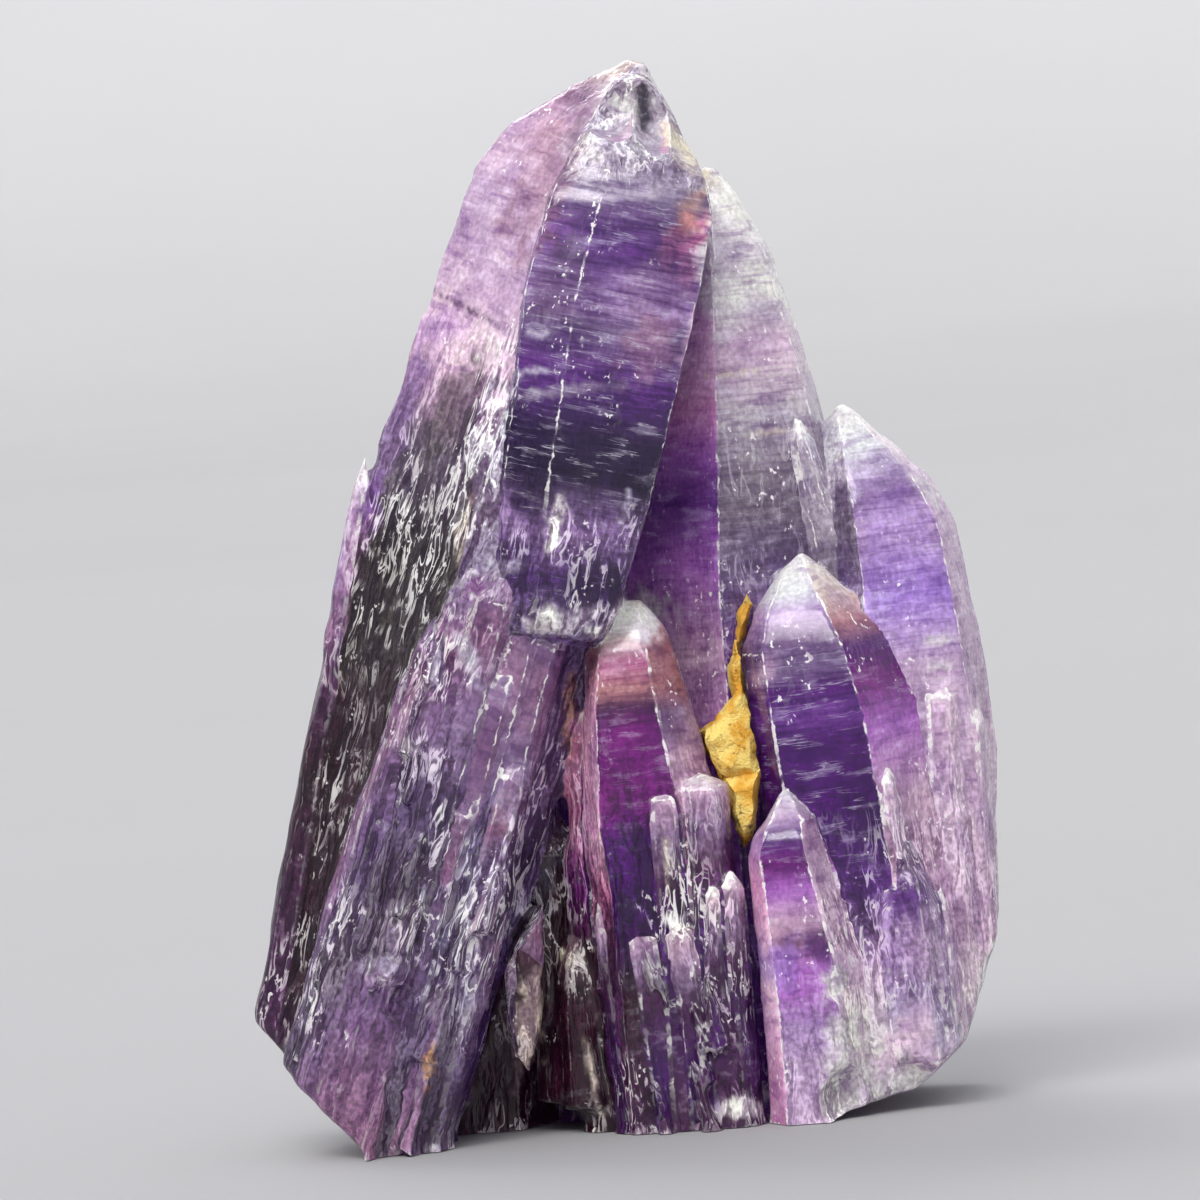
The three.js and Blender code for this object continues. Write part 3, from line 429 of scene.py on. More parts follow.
# Patches on the front: x and z of the middle, half-sizes, how far x leans for each z, colour and strength
PATCHES = [
    # the great crystal's tip and front face
    (3.4, 56.2, 2.2, 2.6, 0.5, WHITE, 0.4),
    (5.6, 56.6, 0.35, 1.2, 0.1, NIGHT, 0.9),
    (7.9, 53.6, 0.8, 2.6, -0.55, CREAM, 1),
    (7.4, 48.8, 1.4, 2, 0.3, ROSE, 0.9),
    (7.6, 50.6, 0.9, 1.1, 0.2, TAN, 0.5),
    (3.4, 52, 3.6, 0.5, -0.4, ASH, 0.6),
    (5.6, 46.4, 2.2, 2.4, 0.3, DUSTY_VIOLET, 0.6),
    (4.8, 43.4, 1.8, 2.2, 0.3, MAUVE, 0.5),
    (0, 47.4, 1.6, 2.4, 0.2, PLUM, 0.4),
    (-1.4, 44.6, 1.3, 0.25, -0.3, SILVER, 0.8),
    (-1.9, 42.6, 1.2, 0.2, -0.3, SILVER, 0.6),
    (0.8, 41.4, 3.6, 0.3, 0, ASH, 0.5),
    (-2.2, 36.8, 1.4, 3, 0.3, NIGHT, 0.7),
    # painted highlights: a cluster of white glints on small facets
    (-1.2, 34.6, 0.3, 1.1, 0.3, WHITE, 1),
    (-1.5, 33.4, 0.25, 0.7, 0.3, WHITE, 1),
    (2.6, 34.8, 0.2, 1.5, 0.3, SILVER, 0.9),
    (-1.2, 28.7, 2.2, 0.9, 0.2, WHITE, 0.9),
    (-0.2, 53, 2, 4.2, 0.4, WINE, 0.5),
    (-6.6, 51.2, 0.8, 4.4, 0.5, WHITE, 0.6),
    (-5.2, 46.2, 0.3, 1.4, -1.56, PLUM, 0.8),
    (-7.4, 45.2, 2, 1.4, 0.3, ORCHID, 0.35),
    (-6.4, 40.8, 1.6, 3.2, 0.5, MOSS_GREY, 0.6),
    (-10, 39.8, 0.9, 6, 0.42, LILAC, 0.7),
    (-11.5, 36, 0.5, 2, 0.4, VIOLET, 0.7),
    (-13.6, 31, 0.7, 4, 0.36, MAUVE, 0.6),
    (-4.6, 39.4, 0.9, 4.4, 0.3, SILVER, 0.6),
    (-6.5, 34.4, 0.35, 2.4, 0.3, CREAM, 0.7),
    # the tall crystal and the shoulder
    # painted glow on the tall crystal's left side, which the plate shades
    (7.2, 43.8, 0.7, 1.6, 0.3, PAINTED_GLOW, 0.9),
    (9.2, 47, 1.3, 3.6, 0.1, WHITE, 1),
    (9.2, 41.3, 1.9, 0.14, 0, CREAM, 0.9),
    (10.6, 37.8, 1.5, 0.16, 0, CREAM, 0.8),
    (12.8, 36.6, 0.4, 1.6, -0.5, WHITE, 0.7),
    (17.6, 30, 2, 4, 0, AMETHYST, 0.3),
    (19.3, 34, 0.5, 1.3, -0.6, WHITE, 1),
    # painted highlights: two white glints
    (19.4, 25.6, 1, 0.35, 0, WHITE, 0.8),
    (19.5, 24.1, 0.9, 0.25, 0, WHITE, 0.8),
    (20.6, 14, 0.6, 6, 0, BLUSH, 0.6),
    (20.7, 7, 0.5, 1.6, 0.2, WHITE, 1),
    # the flutes
    (-6.2, 31, 0.8, 0.7, 0.3, MAGENTA, 0.8),
    (-4.2, 32, 1.2, 0.6, 0.2, SILVER, 0.6),
    (-6.8, 27.2, 0.5, 1.6, -0.3, SILVER, 0.8),
    (-8.6, 27, 0.4, 1.3, 0.1, SILVER, 0.8),
    (-10.6, 22.6, 0.5, 0.7, 0.2, WHITE, 0.7),
    (-10.9, 20.6, 0.4, 1.2, 0.3, NIGHT, 0.7),
    (-12.2, 13.8, 0.7, 0.4, 0.3, SILVER, 0.7),
    (-12.4, 10.6, 1.3, 0.5, 0.3, SILVER, 0.8),
    (-6.8, 14, 3.4, 5.4, 0.5, SLATE, 0.5),
    (-4.4, 15.6, 0.8, 4, 0.5, NIGHT, 0.7),
    (-9.4, 18, 0.6, 2.6, 0.5, NIGHT, 0.5),
    (-10.8, 5, 0.4, 1.1, 0.2, TAN, 1),
    (-8.8, 8, 1.2, 2.2, 0.5, SILVER, 0.3),
    (-5.2, 24, 2.4, 4, 0.4, DUSTY_VIOLET, 0.4),
    # the gap beside the great crystal
    (-5.3, 6.2, 0.9, 3.2, 0.2, BEIGE, 1),
    (-1.9, 3, 0.35, 2.2, -0.1, CREAM, 1),
    (-1.5, 23, 0.4, 2.6, 0.1, TAN, 0.6),
    (-1.1, 18.6, 0.6, 4, 0, PINK, 0.9),
    (-2.5, 9.8, 0.6, 0.5, 0, CREAM, 0.6),
    # the short crystals
    # the brown crystal's cap: pale, and whitened further where the plate's shadow falls, which is partly
    # painted light
    (2.2, 28.3, 2.4, 1.2, 0, WHITE, 1),
    (3.4, 11.8, 1.4, 0.3, 0, WHITE, 0.9),
    (3.1, 15, 0.3, 1.6, 0, CREAM, 0.7),
    (6.2, 1.1, 1.4, 0.8, 0, WHITE, 0.9),
    (11.7, 7.7, 0.8, 1.2, 0.1, WHITE, 1),
    (12.4, 3.2, 1.6, 2.6, 0, WHITE, 0.7),
    (15.6, 3, 2.6, 2.2, 0, BLUSH, 0.8),
    (14.6, 1, 2.4, 1.2, 0.4, WHITE, 0.9),
    (11.2, 9.6, 0.8, 0.9, 0, DEEP_VIOLET, 0.7),
    (8.8, 9, 1.4, 1.6, 0, AMETHYST, 0.6),
    (17.2, 8.4, 1.6, 2.6, 0, PALE_LILAC, 0.6),
    (9.2, 24.6, 0.8, 1.4, 0.4, ROSY_LILAC, 0.6),
    (8, 25.4, 0.5, 1.4, 0.2, RUST, 0.5),
]

# Where the front is smoother or more etched than its crystal, in the same form, with how etched it is
ETCHINGS = [
    (-6.8, 13.8, 3, 5.2, 0.5, 1, 1),
    (-9.4, 5.6, 2, 2.6, 0.4, 0.6, 0.8),
    (-5, 23.6, 2.2, 5, 0.4, 0.1, 0.9),
    (-9, 26.6, 1.6, 2.4, 0.2, 1, 0.9),
    (-10.6, 22, 1.2, 2.6, 0.3, 0.9, 0.8),
    (-5, 38.6, 1.3, 6, 0.3, 1, 1),
    (-9, 33, 3, 5, 0.4, 1, 0.8),
    (-13.4, 24, 2, 6, 0.36, 0.8, 0.8),
    (2.6, 33.6, 1.2, 2, 0.3, 0.9, 0.8),
    (-1.2, 33.8, 0.8, 1.6, 0.3, 0.8, 0.8),
    (4, 12, 2.6, 1.6, 0, 1, 1),
    (3, 5.6, 3, 4, 0, 0.3, 0.7),
    (13.4, 11, 1.8, 2.6, 0, 0.9, 0.8),
    (16.6, 14.4, 2, 1.8, 0, 0.8, 0.7),
    (13.4, 20.5, 3.2, 3, 0, 0, 0.9),
    (15.4, 3, 3.4, 3, 0, 0.2, 0.8),
]

# Stage, in metres
FLOOR_REACH = 1.3
COVE = 0.9
COVE_STEPS = 12
ROUND_STEPS = 96
WALL_TALL = 1.6
FLOOR_GAP = 0.00005
FLOOR_PALE = srgb(162, 162, 164)
FLOOR_WARM = srgb(157, 156, 157)
FLOOR_ROUGH = 0.85

# Lights: where each comes from, how wide it looks in degrees, its strength and colour
LIGHTS = {
    "key": [(-0.4, -0.9, 0.6), 55, 6.2, (1.0, 0.98, 0.95)],
    "side": [(0.25, -1.0, 0.15), 70, 3.4, (0.94, 0.96, 1.0)],
    "back": [(-0.35, 0.8, 0.6), 40, 2.5, (1.0, 0.98, 1.0)],
}
SKY = 0.95
SKY_COLOUR = (0.92, 0.95, 1.0, 1.0)

# The whole numbers that mix up the cells of the noise
CELL_MIX = (73856093, 19349663, 83492791)
SEED_MIX = 2654435761
LAST_MIX = 1274126177
LAST_BITS = 0xFFFF


def smooth(low, high, value):
    """0 below low, 1 above high, and eased between."""
    share = np.clip((value - low) / (high - low), 0, 1)
    return share * share * (3 - 2 * share)


def lattice(cells, seed):
    """A number from -1 to 1 for each whole-number cell."""
    across, through, along = (cells * CELL_MIX).T
    mixed = across ^ through ^ along ^ seed * SEED_MIX
    mixed = (mixed ^ (mixed >> 13)) * LAST_MIX
    return ((mixed ^ (mixed >> 16)) & LAST_BITS) / (LAST_BITS / 2) - 1


def noise(points, seed):
    """Smooth random waves from -1 to 1, about one to each unit."""
    cells = np.floor(points).astype(np.int64)
    part = points - cells
    ease = part * part * (3 - 2 * part)
    total = np.zeros(len(points))
    for corner in range(8):
        step = np.array([corner & 1, corner >> 1 & 1, corner >> 2 & 1])
        weight = np.prod(np.where(step, ease, 1 - ease), axis=1)
        total += weight * lattice(cells + step, seed)
    return total


def pattern(points, seed, *layers):
    """Layers of noise, each with a size and a strength."""
    return sum(strength * noise(points / size, seed + 2 * k) for k, (size, strength) in enumerate(layers))


def dents(points, seed, size, start, deep):
    """How deep each point is in the dents of a noise."""
    return smooth(start, DENT_FULL, noise(points / size, seed)) * deep


class Crystal:
    """A pointed prism with its own frame: across, through and drop below its tip."""

    def __init__(self, kind, tip, foot, section, stations):
        self.kind = kind
        self.tip = np.array(tip, float)
        self.up = self.tip - np.array(foot, float)
        self.up /= np.linalg.norm(self.up)
        self.across = np.cross([0, 1, 0], self.up)
        self.across /= np.linalg.norm(self.across)
        self.through = np.cross(self.up, self.across)
        self.stations = np.array(stations, float)
        corners = np.array(section, float)
        sides = np.roll(corners, -1, axis=0) - corners
        normals = np.stack([sides[:, 1], -sides[:, 0]], axis=1)
        self.sides = normals / (normals * corners).sum(axis=1, keepdims=True)

    def local(self, points):
        """Across, through and drop of each point."""
        away = points - self.tip
        return np.stack([away @ self.across, away @ self.through, -(away @ self.up)], axis=1)

    def outside(self, local):
        """How far each point is outside the crystal, in millimetres."""
        drops = self.stations[:, 0]
        left, right, front, back = (np.interp(local[:, 2], drops, self.stations[:, i]) for i in range(1, 5))
        half_wide, half_deep = (right - left) / 2, (back - front) / 2
        shares = np.stack([(local[:, 0] - (left + right) / 2) / half_wide,
                           (local[:, 1] - (front + back) / 2) / half_deep], axis=1)
        reach = (shares @ self.sides.T).max(axis=1)
        beyond = np.maximum(-local[:, 2], local[:, 2] - drops[-1])
        return np.maximum((reach - 1) * np.minimum(half_wide, half_deep), beyond)


def even_crystal(kind, tip, foot, wide, deep, cap, narrow):
    """A crystal with even sides: its point, the shoulder under the cap, its waist and its foot."""
    length = np.linalg.norm(np.array(tip) - np.array(foot))
    waist = cap + (length - cap) * WAIST
    places = [(0, POINT_SHARE), (cap, narrow), (waist, (narrow + 1) / 2), (length, 1)]
    stations = [[drop, -wide / 2 * s, wide / 2 * s, -deep / 2 * s, deep / 2 * s] for drop, s in places]
    return Crystal(kind, tip, foot, EVEN, stations)


def flute(x, y, z, wide):
    """A flute, which runs down along the great crystal to the base."""
    tip, foot = LARGE["great"][:2]
    share = (z - foot[2]) / (tip[2] - foot[2])
    low = [x - (tip[0] - foot[0]) * share, y + FLUTE_DROP, foot[2]]
    return even_crystal("flute", [x, y, z], low, wide, wide * FLUTE_DEEP, wide * FLUTE_CAP, FLUTE_NARROW)


def all_crystals():
    large = [Crystal(kind, *shape) for kind, shape in LARGE.items()]
    small = [even_crystal(kind, *shape) for kind, shapes in SMALL.items() for shape in shapes]
    return large + small + [flute(*one) for one in FLUTES]


def facets(node):
    """A CAD node's corners in drawn millimetres, and the corners of each of its flat faces in order."""
    shape = bmesh.new()
    shape.from_mesh(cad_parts[node].data)
    bmesh.ops.remove_doubles(shape, verts=shape.verts, dist=MERGE * MM)
    bmesh.ops.dissolve_limit(shape, angle_limit=FLAT, verts=shape.verts, edges=shape.edges)
    shape.verts.index_update()
    points = np.array([v.co for v in shape.verts]) / MM + MIDDLE
    faces = [[v.index for v in f.verts] for f in shape.faces]
    shape.free()
    return points, faces


def across_vector(corners):
    """The normal of a flat face, twice its area long."""
    return np.cross(corners, np.roll(corners, -1, axis=0)).sum(axis=0)


def divided_edges(points, faces, steps):
    """The points with new ones along the faces' edges, and the run of points along each edge."""
    wanted = {}
    for face, step in zip(faces, steps):
        for ends in zip(face, face[1:] + face[:1]):
            key = tuple(sorted(ends))
            wanted[key] = min(step, wanted.get(key, step))
    added, runs, total = [points], {}, len(points)
    for (low, high), step in wanted.items():
        count = max(round(np.linalg.norm(points[high] - points[low]) / step), 1)
        shares = np.arange(1, count)[:, None] / count
        added.append(points[low] + (points[high] - points[low]) * shares)
        runs[low, high] = [low, *range(total, total + count - 1), high]
        total += count - 1
    return np.vstack(added), runs


def inner_places(outline, step):
    """Places in rows inside a flat outline, off its border."""
    low, high = outline.min(axis=0), outline.max(axis=0)
    rows = np.arange(low[1] + step / 2, high[1], step * ROW)
    places = [np.array([[x, y] for x in np.arange(low[0] + step * (k % 2) / 2, high[0], step)])
              for k, y in enumerate(rows)]
    places = [row for row in places if len(row)]
    if not places:
        return np.zeros((0, 2))
    places = np.vstack(places)
    starts, ends = outline, np.roll(outline, -1, axis=0)
    along = ends - starts
    away = places[:, None] - starts
    share = np.clip((away * along).sum(axis=2) / (along * along).sum(axis=1), 0, 1)
    off = np.linalg.norm(away - share[..., None] * along, axis=2).min(axis=1)
    above = (starts[:, 1] > places[:, 1:]) != (ends[:, 1] > places[:, 1:])
    rise = np.where(along[:, 1] == 0, 1, along[:, 1])
    crossing = starts[:, 0] + away[..., 1] * along[:, 0] / rise
    inside = (above & (places[:, :1] < crossing)).sum(axis=1) % 2 == 1
    return places[inside & (off > step * INSET)]


def fine_mesh(points, faces, step_at):
    """The flat faces cut into near-even triangles: points, triangles and the face that each one is on."""
    normals = [across_vector(points[face]) for face in faces]
    ups = [normal / np.linalg.norm(normal) for normal in normals]
    steps = [step_at(up) for up in ups]
    points, runs = divided_edges(points, faces, steps)
    added, triangles, source, total = [points], [], [], len(points)
    for number, (face, up, step) in enumerate(zip(faces, ups, steps)):
        loop = []
        for low, high in zip(face, face[1:] + face[:1]):
            run = runs[min(low, high), max(low, high)]
            loop += run[:-1] if low < high else run[:0:-1]
        first = np.cross(up, [0, 1, 0] if abs(up[1]) < STEEP else [1, 0, 0])
        first /= np.linalg.norm(first)
        second = np.cross(up, first)
        base = points[face[0]]
        outline = (points[loop] - base) @ np.stack([first, second], axis=1)
        inner = inner_places(outline, step)
        flat = np.vstack([outline, inner])
        names = loop + list(range(total, total + len(inner)))
        _, _, cut, origins, _, _ = delaunay_2d_cdt(
            [Vector(place) for place in flat], [], [list(range(len(loop)))], INNER_CUT, CUT_NEAR)
        if len(origins) == len(flat) and all(len(origin) == 1 for origin in origins):
            corners = np.array([[origins[i][0] for i in one] for one in cut])
            added.append(base + inner @ np.stack([first, second]))
            total += len(inner)
        else:
            corners = np.array(tessellate_polygon([[Vector(place) for place in outline]]))
        a, b, c = (flat[corners[:, i]] for i in range(3))
        turn = (b[:, 0] - a[:, 0]) * (c[:, 1] - a[:, 1]) - (b[:, 1] - a[:, 1]) * (c[:, 0] - a[:, 0])
        corners[turn < 0] = corners[turn < 0, ::-1]
        triangles.append(np.array(names)[corners])
        source.append(np.full(len(corners), number))
    return np.vstack(added), np.vstack(triangles), np.concatenate(source)


def wedge_normals(points, triangles):
    """Each triangle's normal, twice its area long."""
    first, second, third = (points[triangles[:, i]] for i in range(3))
    return np.cross(second - first, third - first)


def unit(rows):
    """Each row at a length of 1."""
    return rows / np.maximum(np.linalg.norm(rows, axis=1, keepdims=True), TINY)


def gathered(places, values, count):
    """The sum of the values that fall on each place."""
    columns = [np.bincount(places, column, count) for column in np.atleast_2d(values.T)]
    return np.stack(columns, axis=1)


def corner_normals(points, triangles):
    """Each point's normal, the mean of its triangles'."""
    across = wedge_normals(points, triangles)
    return unit(sum(gathered(triangles[:, i], across, len(points)) for i in range(3)))


def worn(points, triangles, weight):
    """The points drawn towards their neighbours' middle, by their weight, which rounds edges and tips."""
    ends = np.sort(triangles[:, [0, 1, 1, 2, 2, 0]].reshape(-1, 2), axis=1)
    ends = np.unique(ends[:, 0] * len(points) + ends[:, 1])
    first, second = ends // len(points), ends % len(points)
    near = np.bincount(first, minlength=len(points)) + np.bincount(second, minlength=len(points))
    for _ in range(WEAR_STEPS):
        total = gathered(first, points[second], len(points)) + gathered(second, points[first], len(points))
        points = points + (total / near[:, None] - points) * weight[:, None]
    return points


def edge_distances(places, points, faces):
    """How far each place is from the nearest sharp outward edge between flat faces, in millimetres."""
    normals = unit(np.array([across_vector(points[face]) for face in faces]))
    middles = np.array([points[face].mean(axis=0) for face in faces])
    sides = {}
    for number, face in enumerate(faces):
        for ends in zip(face, face[1:] + face[:1]):
            sides.setdefault(tuple(sorted(ends)), []).append(number)
    samples = []
    for ends, (face, other) in sides.items():
        start, end = points[list(ends)]
        turn = math.acos(np.clip(normals[face] @ normals[other], -1, 1))
        if turn > SHARP and (middles[other] - start) @ normals[face] < 0:
            count = max(int(np.linalg.norm(end - start) / EDGE_STEP), 1)
            samples += [start + (end - start) * k / count for k in range(count + 1)]
    tree = KDTree(len(samples))
    for i, sample in enumerate(samples):
        tree.insert(sample, i)
    tree.balance()
    return np.array([tree.find(place)[2] for place in places])


def owners(centres, areas, source, normals, crystals):
    """For each flat face, the number of the crystal that it belongs to, and its look."""
    count = len(normals)
    nearest = np.full(count, np.inf)
    owner = np.zeros(count, int)
    look = np.full(count, "great", dtype="<U16")
    for number, crystal in enumerate(crystals):
        gap = np.abs(crystal.outside(crystal.local(centres))) * areas
        total = np.bincount(source, gap, count)
        nearer = total < nearest
        nearest[nearer] = total[nearer]
        owner[nearer] = number
        facing = np.stack([normals @ crystal.across, normals @ crystal.through], axis=1)
        side = (facing @ unit(crystal.sides).T).argmax(axis=1)
        names = [f"{crystal.kind}_{SIDE_NAMES.get(k)}" for k in range(len(crystal.sides))]
        names = np.array([name if name in LOOKS else crystal.kind for name in names])
        look[nearer] = names[side[nearer]]
    return owner, look


def own_local(points, owner, crystals):
    """Each point's across, through and drop, in its own crystal's frame."""
    local = np.zeros_like(points)
    for number, crystal in enumerate(crystals):
        mine = owner == number
        local[mine] = crystal.local(points[mine])
    return local


def look_of(looks, drops, channel):
    """A channel of the looks, read at each drop. The looks hold a name for each place."""
    wide = np.size(LOOKS[looks[0]][channel][1])
    values = np.zeros((len(drops), wide))
    for look in np.unique(looks):
        mine = looks == look
        places, held = LOOKS[look][channel][::2], LOOKS[look][channel][1::2]
        columns = np.array(held, float).reshape(len(places), wide).T
        values[mine] = np.stack([np.interp(drops[mine], places, column) for column in columns], axis=1)
    return values if wide > 1 else values[:, 0]


def relief(local, etched, edge):
    """How far each point of the crystals moves out: growth waves, etched dents and chipped edges."""
    waves = pattern(local, *WAVES)
    bend = pattern(local, *BENDS)
    local = local + np.stack([bend, -bend, bend * 0], axis=1)
    etching = dents(local, *PITS) + dents(local, *SCRATCHES)
    chips = dents(local, *CHIPS) * smooth(CHIP_REACH, 0, edge)
    return waves * (1 - etched) - etching * etched - chips * (CHIP_LEAST + (1 - CHIP_LEAST) * etched)


def mottled(tint, local, etched, banded):
    """The tint with growth bands, clouds and etched streaks in it."""
    light = (1 + BAND_SHADE * pattern(local, *BANDS) * banded + CLOUD_SHADE * pattern(local, *CLOUDS)
             + STREAK_SHADE * pattern(local, *STREAKS) * etched)
    return tint * np.maximum(light, DARKEST)[:, None] ** DEEPENING


def painted(values, points, normals, patches):
    """The values with the patches' own on them. Patches are on the front alone."""
    facing = smooth(*PATCH_TURN, normals[:, 1])
    wobble = pattern(points, *WOBBLES)
    for x, z, half_x, half_z, lean, value, strength in patches:
        aside = points[:, 0] - x - (points[:, 2] - z) * lean
        reach = np.hypot(aside / half_x, (points[:, 2] - z) / half_z) + wobble
        share = (smooth(*PATCH_RIM, reach) * strength * facing)[:, None]
        values = values * (1 - share) + np.array(value) * share
    return values


def placed(name, data):
    """An object in the scene that holds the data."""
    thing = bpy.data.objects.new(name, data)
    bpy.context.scene.collection.objects.link(thing)
    return thing


def new_mesh(name, points, triangles):
    """A mesh object in metres, in the part's frame, smooth but for its sharp edges."""
    mesh = bpy.data.meshes.new(name)
    mesh.from_pydata(((points - MIDDLE) * MM).tolist(), [], triangles.tolist())
    mesh.shade_smooth()
    mesh.set_sharp_from_angle(angle=CREASE)
    return placed(name, mesh)


def give(thing, name, kind, domain, values):
    """A named attribute that the material's nodes read."""
    field = {"FLOAT": "value", "FLOAT_VECTOR": "vector", "FLOAT_COLOR": "color"}[kind]
    attribute = thing.data.attributes.new(name, kind, domain)
    attribute.data.foreach_set(field, np.ascontiguousarray(values, np.float32).ravel())


def crystal_step(normal):
    """The size of the triangles on a face: small in front."""
    return FRONT_STEP + (BACK_STEP - FRONT_STEP) * smooth(*STEP_TURN, normal[1])


def crystal_piece():
    """The cluster's crystals, finer than the solid, with relief and with colours for the material."""
    crystals = all_crystals()
    solid_points, faces = facets("crystal_cluster")
    points, triangles, source = fine_mesh(solid_points, faces, crystal_step)
    areas = np.linalg.norm(wedge_normals(points, triangles), axis=1)
    face_normals = unit(np.array([across_vector(solid_points[face]) for face in faces]))
    owner, look = owners(points[triangles].mean(axis=1), areas, source, face_normals, crystals)

    corner_face = np.repeat(source, 3)
    corners = points[triangles].reshape(-1, 3)
    normals, owner, looks = face_normals[corner_face], owner[corner_face], look[corner_face]
    local = own_local(corners, owner, crystals)
    tint, etched, banded = (look_of(looks, local[:, 2], channel) for channel in (COLOUR, ETCHED, BANDED))
    local += owner[:, None] * OWN_SHIFT
    tint = painted(tint, corners, normals, PATCHES)
    etched = painted(etched[:, None], corners, normals, ETCHINGS)[:, 0]
    tint = mottled(tint, local, etched, banded)

    spread = triangles.ravel()
    point_etched = np.bincount(spread, etched, len(points)) / np.bincount(spread, minlength=len(points))
    point_local = np.zeros_like(points)
    point_local[spread] = local
    edge = edge_distances(points, solid_points, faces)
    settled = smooth(0, SETTLE, points[:, 2])
    out = relief(point_local, point_etched, edge) * settled
    moved = points + corner_normals(points, triangles) * out[:, None]
    moved = worn(moved, triangles, (WEAR[0] + WEAR[1] * point_etched) * settled)
    moved = np.clip(moved, solid_points.min(axis=0), solid_points.max(axis=0))
    thing = new_mesh("amethyst_crystals", moved, triangles)

    drawn = [(*place, 2 * value - 1, strength * SWARM_SHARE) for *place, value, strength in ETCHINGS]
    swarm = painted(pattern(points, *SWARMS)[spread][:, None], corners, normals, drawn)
    give(thing, "tint", "FLOAT_COLOR", "CORNER", np.hstack([tint, np.ones((len(tint), 1))]))
    give(thing, "grain", "FLOAT_VECTOR", "CORNER", local)
    for name, values in {"etched": etched, "banded": banded, "swarm": swarm}.items():
        give(thing, name, "FLOAT", "CORNER", values)
    give(thing, "edge", "FLOAT", "POINT", edge)
    thing.data.materials.append(amethyst_material())
    print("crystals:", len(triangles), "triangles")
    return thing


def crust_piece():
    """The rusty crust, lumpy and grainy."""
    points, triangles, _ = fine_mesh(*facets("iron_oxide_crust"), lambda normal: CRUST_STEP)
    lumps = pattern(points, *CRUST_LUMPS)
    thing = new_mesh("rusty_crust", points + corner_normals(points, triangles) * lumps[:, None], triangles)
    give(thing, "grain", "FLOAT_VECTOR", "POINT", points)
    thing.data.materials.append(crust_material())
    return thing


class Nodes:
    """A material's node tree, built by short calls."""

    def __init__(self, name):
        self.material = bpy.data.materials.new(name)
        self.material.use_nodes = True
        self.tree = self.material.node_tree
        self.shader = self.tree.nodes["Principled BSDF"]
        self.output = self.tree.nodes["Material Output"]

    def link(self, source, target):
        """Links an output, or sets a plain value."""
        if isinstance(source, (int, float, tuple, list)):
            target.default_value = source
        else:
            self.tree.links.new(source, target)

    def put(self, kind, inputs, output=0, **settings):
        """One output of a new node, whose inputs are linked or set."""
        node = self.tree.nodes.new("ShaderNode" + kind)
        for name, value in settings.items():
            setattr(node, name, value)
        for socket, value in inputs.items():
            self.link(value, node.inputs[socket])
        return node.outputs[output]

    def attribute(self, name, output="Fac"):
        return self.put("Attribute", {}, output, attribute_name=name)

    def noise(self, vector, scale, detail, distortion=0.0):
        """Noise from 0 to 1 whose waves are 1 / scale millimetres, for each axis."""
        place = self.put("VectorMath", {0: vector, 1: scale}, operation="MULTIPLY")
        inputs = {"Vector": place, "Scale": 1, "Detail": detail, "Distortion": distortion}
        return self.put("TexNoise", inputs, "Fac")

    def math(self, operation, first, second=0.0):
        return self.put("Math", {0: first, 1: second}, operation=operation)

    def range(self, value, low, high, to_low=0.0, to_high=1.0):
        """The value eased from low..high to to_low..to_high."""
        inputs = dict(enumerate((value, low, high, to_low, to_high)))
        return self.put("MapRange", inputs, interpolation_type="SMOOTHSTEP")

    def mix(self, share, first, second, blend="MIX"):
        """Two colours mixed."""
        inputs = dict(zip(MIX_SOCKETS, (share, first, second)))
        return self.put("Mix", inputs, MIX_RESULT, data_type="RGBA", blend_type=blend)

    def multiplied(self, share, colour, by):
        """A share of the colour multiplied by a plain one."""
        return self.mix(share, colour, self.mix(1.0, colour, opaque(by), "MULTIPLY"))

    def times(self, *values):
        """The product of the values."""
        product = values[0]
        for value in values[1:]:
            product = self.math("MULTIPLY", product, value)
        return product

    def off(self, value, middle):
        """How far the value is from a middle, either way."""
        return self.math("ABSOLUTE", self.math("SUBTRACT", value, middle))

    def shaded(self, colour, share):
        """The colour, lighter or darker by a share."""
        return self.put("VectorMath", {0: colour, "Scale": share}, operation="SCALE")

    def bump(self, height, distance):
        return self.put("Bump", {"Height": height, "Distance": distance * MM}, "Normal")

    def set(self, **values):
        """Sets the shader's own sockets, by name with _ for a space."""
        for name, value in values.items():
            self.link(value, self.shader.inputs[name.replace("_", " ")])


def opaque(colour):
    return (*map(float, colour), 1.0)


